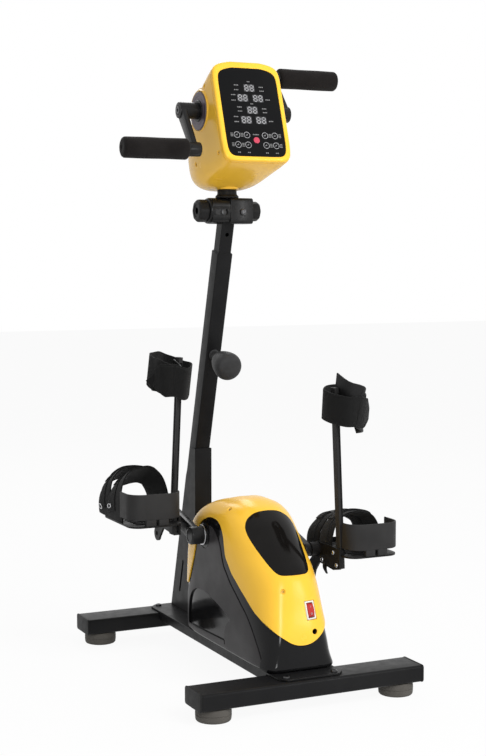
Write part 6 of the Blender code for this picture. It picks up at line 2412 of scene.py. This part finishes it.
    def wrap(self) -> None:
        """Soft strap wound once round the cuff, its end folded over itself."""
        line, widths = [], []
        turns = 120
        for step in range(turns + 1):
            share = step / turns
            angle = self.wrap_from + self.wrap_turn * share
            climb = self.wrap_thickness * 1.12 * min(max((share - 0.8) / 0.14, 0.0), 1.0)
            lift = 0.0055 * max((share - 0.94) / 0.06, 0.0) ** 1.5
            flats = self.folds * (1 - math.cos(math.radians(5 * angle + 40)))
            grown = 0.0003 + self.wrap_thickness / 2 + climb + lift + flats
            x, y = self.oval(grown, angle, angle, 1)[0]
            line.append(Vector((x, y, 0.0014 * math.sin(share * 9) - 0.01 * max(share - 0.85, 0) / 0.15)))
            widths.append(1.0 if share < 0.92 else 1.0 - 8.0 * (share - 0.92))
        frames = [frame @ Matrix.Diagonal((1, 1, width, 1))
            for frame, width in zip(stations(line, Vector((0, 0, 1))), widths)]
        section = strip_section(self.wrap_thickness, self.wrap_width, 0.0013)
        band = Form.swept(section, frames)
        if self.folds > 0.001:
            tab = [(0.046, 0.016), (0.06, 0.001), (0.0725, -0.012), (0.064, -0.017), (0.059, -0.029),
                (0.04, -0.03), (0.04, 0.016)]
            band.add(Form.plate(tab, Axis.Y, -0.0215, -0.0187).eased(0.0009, 2, 30))
        band.shaped(self.slumped).shaped(self.crumpled).moved(turn(self.cuff_tilt, Axis.X))
        finish = webbing("calf_wrap_cloth", self.wrap_width)
        band.sided(self.side).piece("calf_wrap_" + self.side.hand, finish, "calf_" + self.side.hand,
            ["calf_strap_" + self.side.hand], crease=60, place=self.cuff_frame())


@dataclass
class Studio:
    """Floor, lights, world and camera."""

    camera_at: Spot = (-1.17088, -2.50173, 0.77672)
    azimuth: float = -25.247
    elevation: float = 4.762
    lens: float = 70.86
    film_width: float = 36.0
    sees: Point = (0.05, 60.0)
    floor_half: float = 12.0
    # Name, place, target, size, watts and whether shiny parts mirror the lamp
    lamps: tuple[tuple[str, Spot, Spot, Point, float, bool], ...] = (
        ("key", (0.7, -2.6, 2.6), (0, 0, 0.5), (1.4, 1.4), 84, False),
        ("strip", (-1.0, -2.35, 1.15), (0, -0.2, 0.3), (0.36, 0.9), 16, True),
        ("side_strip", (1.12, -2.15, 1.02), (0, -0.2, 0.2), (0.2, 0.8), 8, True),
        ("back", (0.3, 2.2, 2.4), (0, 0, 0.6), (1.4, 1.4), 22, True),
    )
    ambient: float = 0.5
    floor_grey: Colour = (0.74, 0.74, 0.74)
    floor_glow: float = 0.93

    def build(self) -> None:
        """Set up the studio."""
        self.camera()
        self.floor()
        self.world()
        for lamp in self.lamps:
            self.lamp(*lamp)
        bpy.context.scene.view_settings.view_transform = "Standard"

    def camera(self) -> None:
        """Camera of the photograph's view."""
        data = bpy.data.cameras.new("camera")
        data.lens = self.lens
        data.sensor_width = self.film_width
        data.clip_start, data.clip_end = self.sees
        thing = linked("camera", data)
        a, e = math.radians(self.azimuth), math.radians(self.elevation)
        back = Vector((math.sin(a) * math.cos(e), -math.cos(a) * math.cos(e), math.sin(e)))
        thing.location = self.camera_at
        thing.rotation_euler = (-back).to_track_quat("-Z", "Y").to_euler()
        bpy.context.scene.camera = thing

    def _white_for_view(self, shader_tree: bpy.types.NodeTree) -> Socket:
        """One for camera, glossy and transmission rays, and zero for the others.

        Args:
            shader_tree: Tree that gets the nodes.

        Returns:
            The value.
        """
        path = shader_tree.nodes.new("ShaderNodeLightPath")
        total = path.outputs["Is Camera Ray"]
        for name in ("Is Glossy Ray", "Is Transmission Ray"):
            either = shader_tree.nodes.new("ShaderNodeMath")
            either.operation = "MAXIMUM"
            shader_tree.links.new(total, either.inputs[0])
            shader_tree.links.new(path.outputs[name], either.inputs[1])
            total = either.outputs[0]
        return total

    def floor(self) -> None:
        """Pale floor that keeps the shadow and is otherwise white."""
        mesh = bmesh.new()
        bmesh.ops.create_grid(mesh, x_segments=1, y_segments=1, size=self.floor_half)
        data = bpy.data.meshes.new("floor")
        mesh.to_mesh(data)
        mesh.free()
        thing = linked("floor", data)
        shader = Shader("pale_floor")
        shader.set(Base_Color=self.floor_grey, Roughness=0.9, Specular_IOR_Level=0.0)
        tree = shader.tree
        glow = tree.nodes.new("ShaderNodeEmission")
        mix = tree.nodes.new("ShaderNodeMixShader")
        share = shader.math("MULTIPLY", self._white_for_view(tree), self.floor_glow)
        tree.links.new(share, mix.inputs[0])
        tree.links.new(shader.surface.outputs[0], mix.inputs[1])
        tree.links.new(glow.outputs[0], mix.inputs[2])
        tree.links.new(mix.outputs[0], tree.nodes["Material Output"].inputs["Surface"])
        data.materials.append(shader.material)

    def world(self) -> None:
        """Soft even light, and white where the camera looks past the floor."""
        world = bpy.data.worlds.new("studio")
        bpy.context.scene.world = world
        world.use_nodes = True
        tree = world.node_tree
        background = tree.nodes["Background"]
        background.inputs["Color"].default_value = (1, 1, 1, 1)
        seen = self._white_for_view(tree)
        mix = tree.nodes.new("ShaderNodeMapRange")
        tree.links.new(seen, mix.inputs["Value"])
        mix.inputs["To Min"].default_value = self.ambient
        mix.inputs["To Max"].default_value = 1.0
        tree.links.new(mix.outputs[0], background.inputs["Strength"])

    def lamp(self, name: str, at: Spot, target: Spot, size: Point, power_w: float, mirrored: bool) -> None:
        """Soft box that shiny parts mirror or not.

        Args:
            name: The lamp's name.
            at: Its place.
            target: What it points at.
            size: Its width and height.
            power_w: Its power in watts.
            mirrored: Whether shiny parts mirror it.
        """
        data = bpy.data.lights.new(name, "AREA")
        data.shape = "RECTANGLE"
        data.size, data.size_y = size
        data.energy = power_w
        thing = linked(name, data)
        thing.location = at
        thing.rotation_euler = (Vector(target) - Vector(at)).to_track_quat("-Z", "Y").to_euler()
        thing.visible_glossy = mirrored


def main() -> None:
    """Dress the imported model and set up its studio."""
    logging.basicConfig(level=logging.INFO, format="%(message)s")
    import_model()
    Studio().build()
    Base().build()
    Post().build()
    TiltHead().build()
    Console().build()
    HandCrank().build()
    Casing().build()
    PedalCrank().build()
    Pedal(Side.LEFT, toe_rise=0.078, instep_rise=0.078, wrap_width=0.06, cuff_height=0.053, cuff_fall=0.004,
        cuff_slump=0.16, folds=0.002).build()
    Pedal(Side.RIGHT, toe_rise=0.052, instep_rise=0.06, cuff_fall=0.04, instep_width=0.032, foot_slope=0.25,
        outer_spread=0.25, hanging=((0.129, 0.034, 0.078, 0.012), (0.13, 0.004, 0.048, -0.006))).build()
    bpy.context.view_layer.update()


if __name__ == "__main__":
    main()
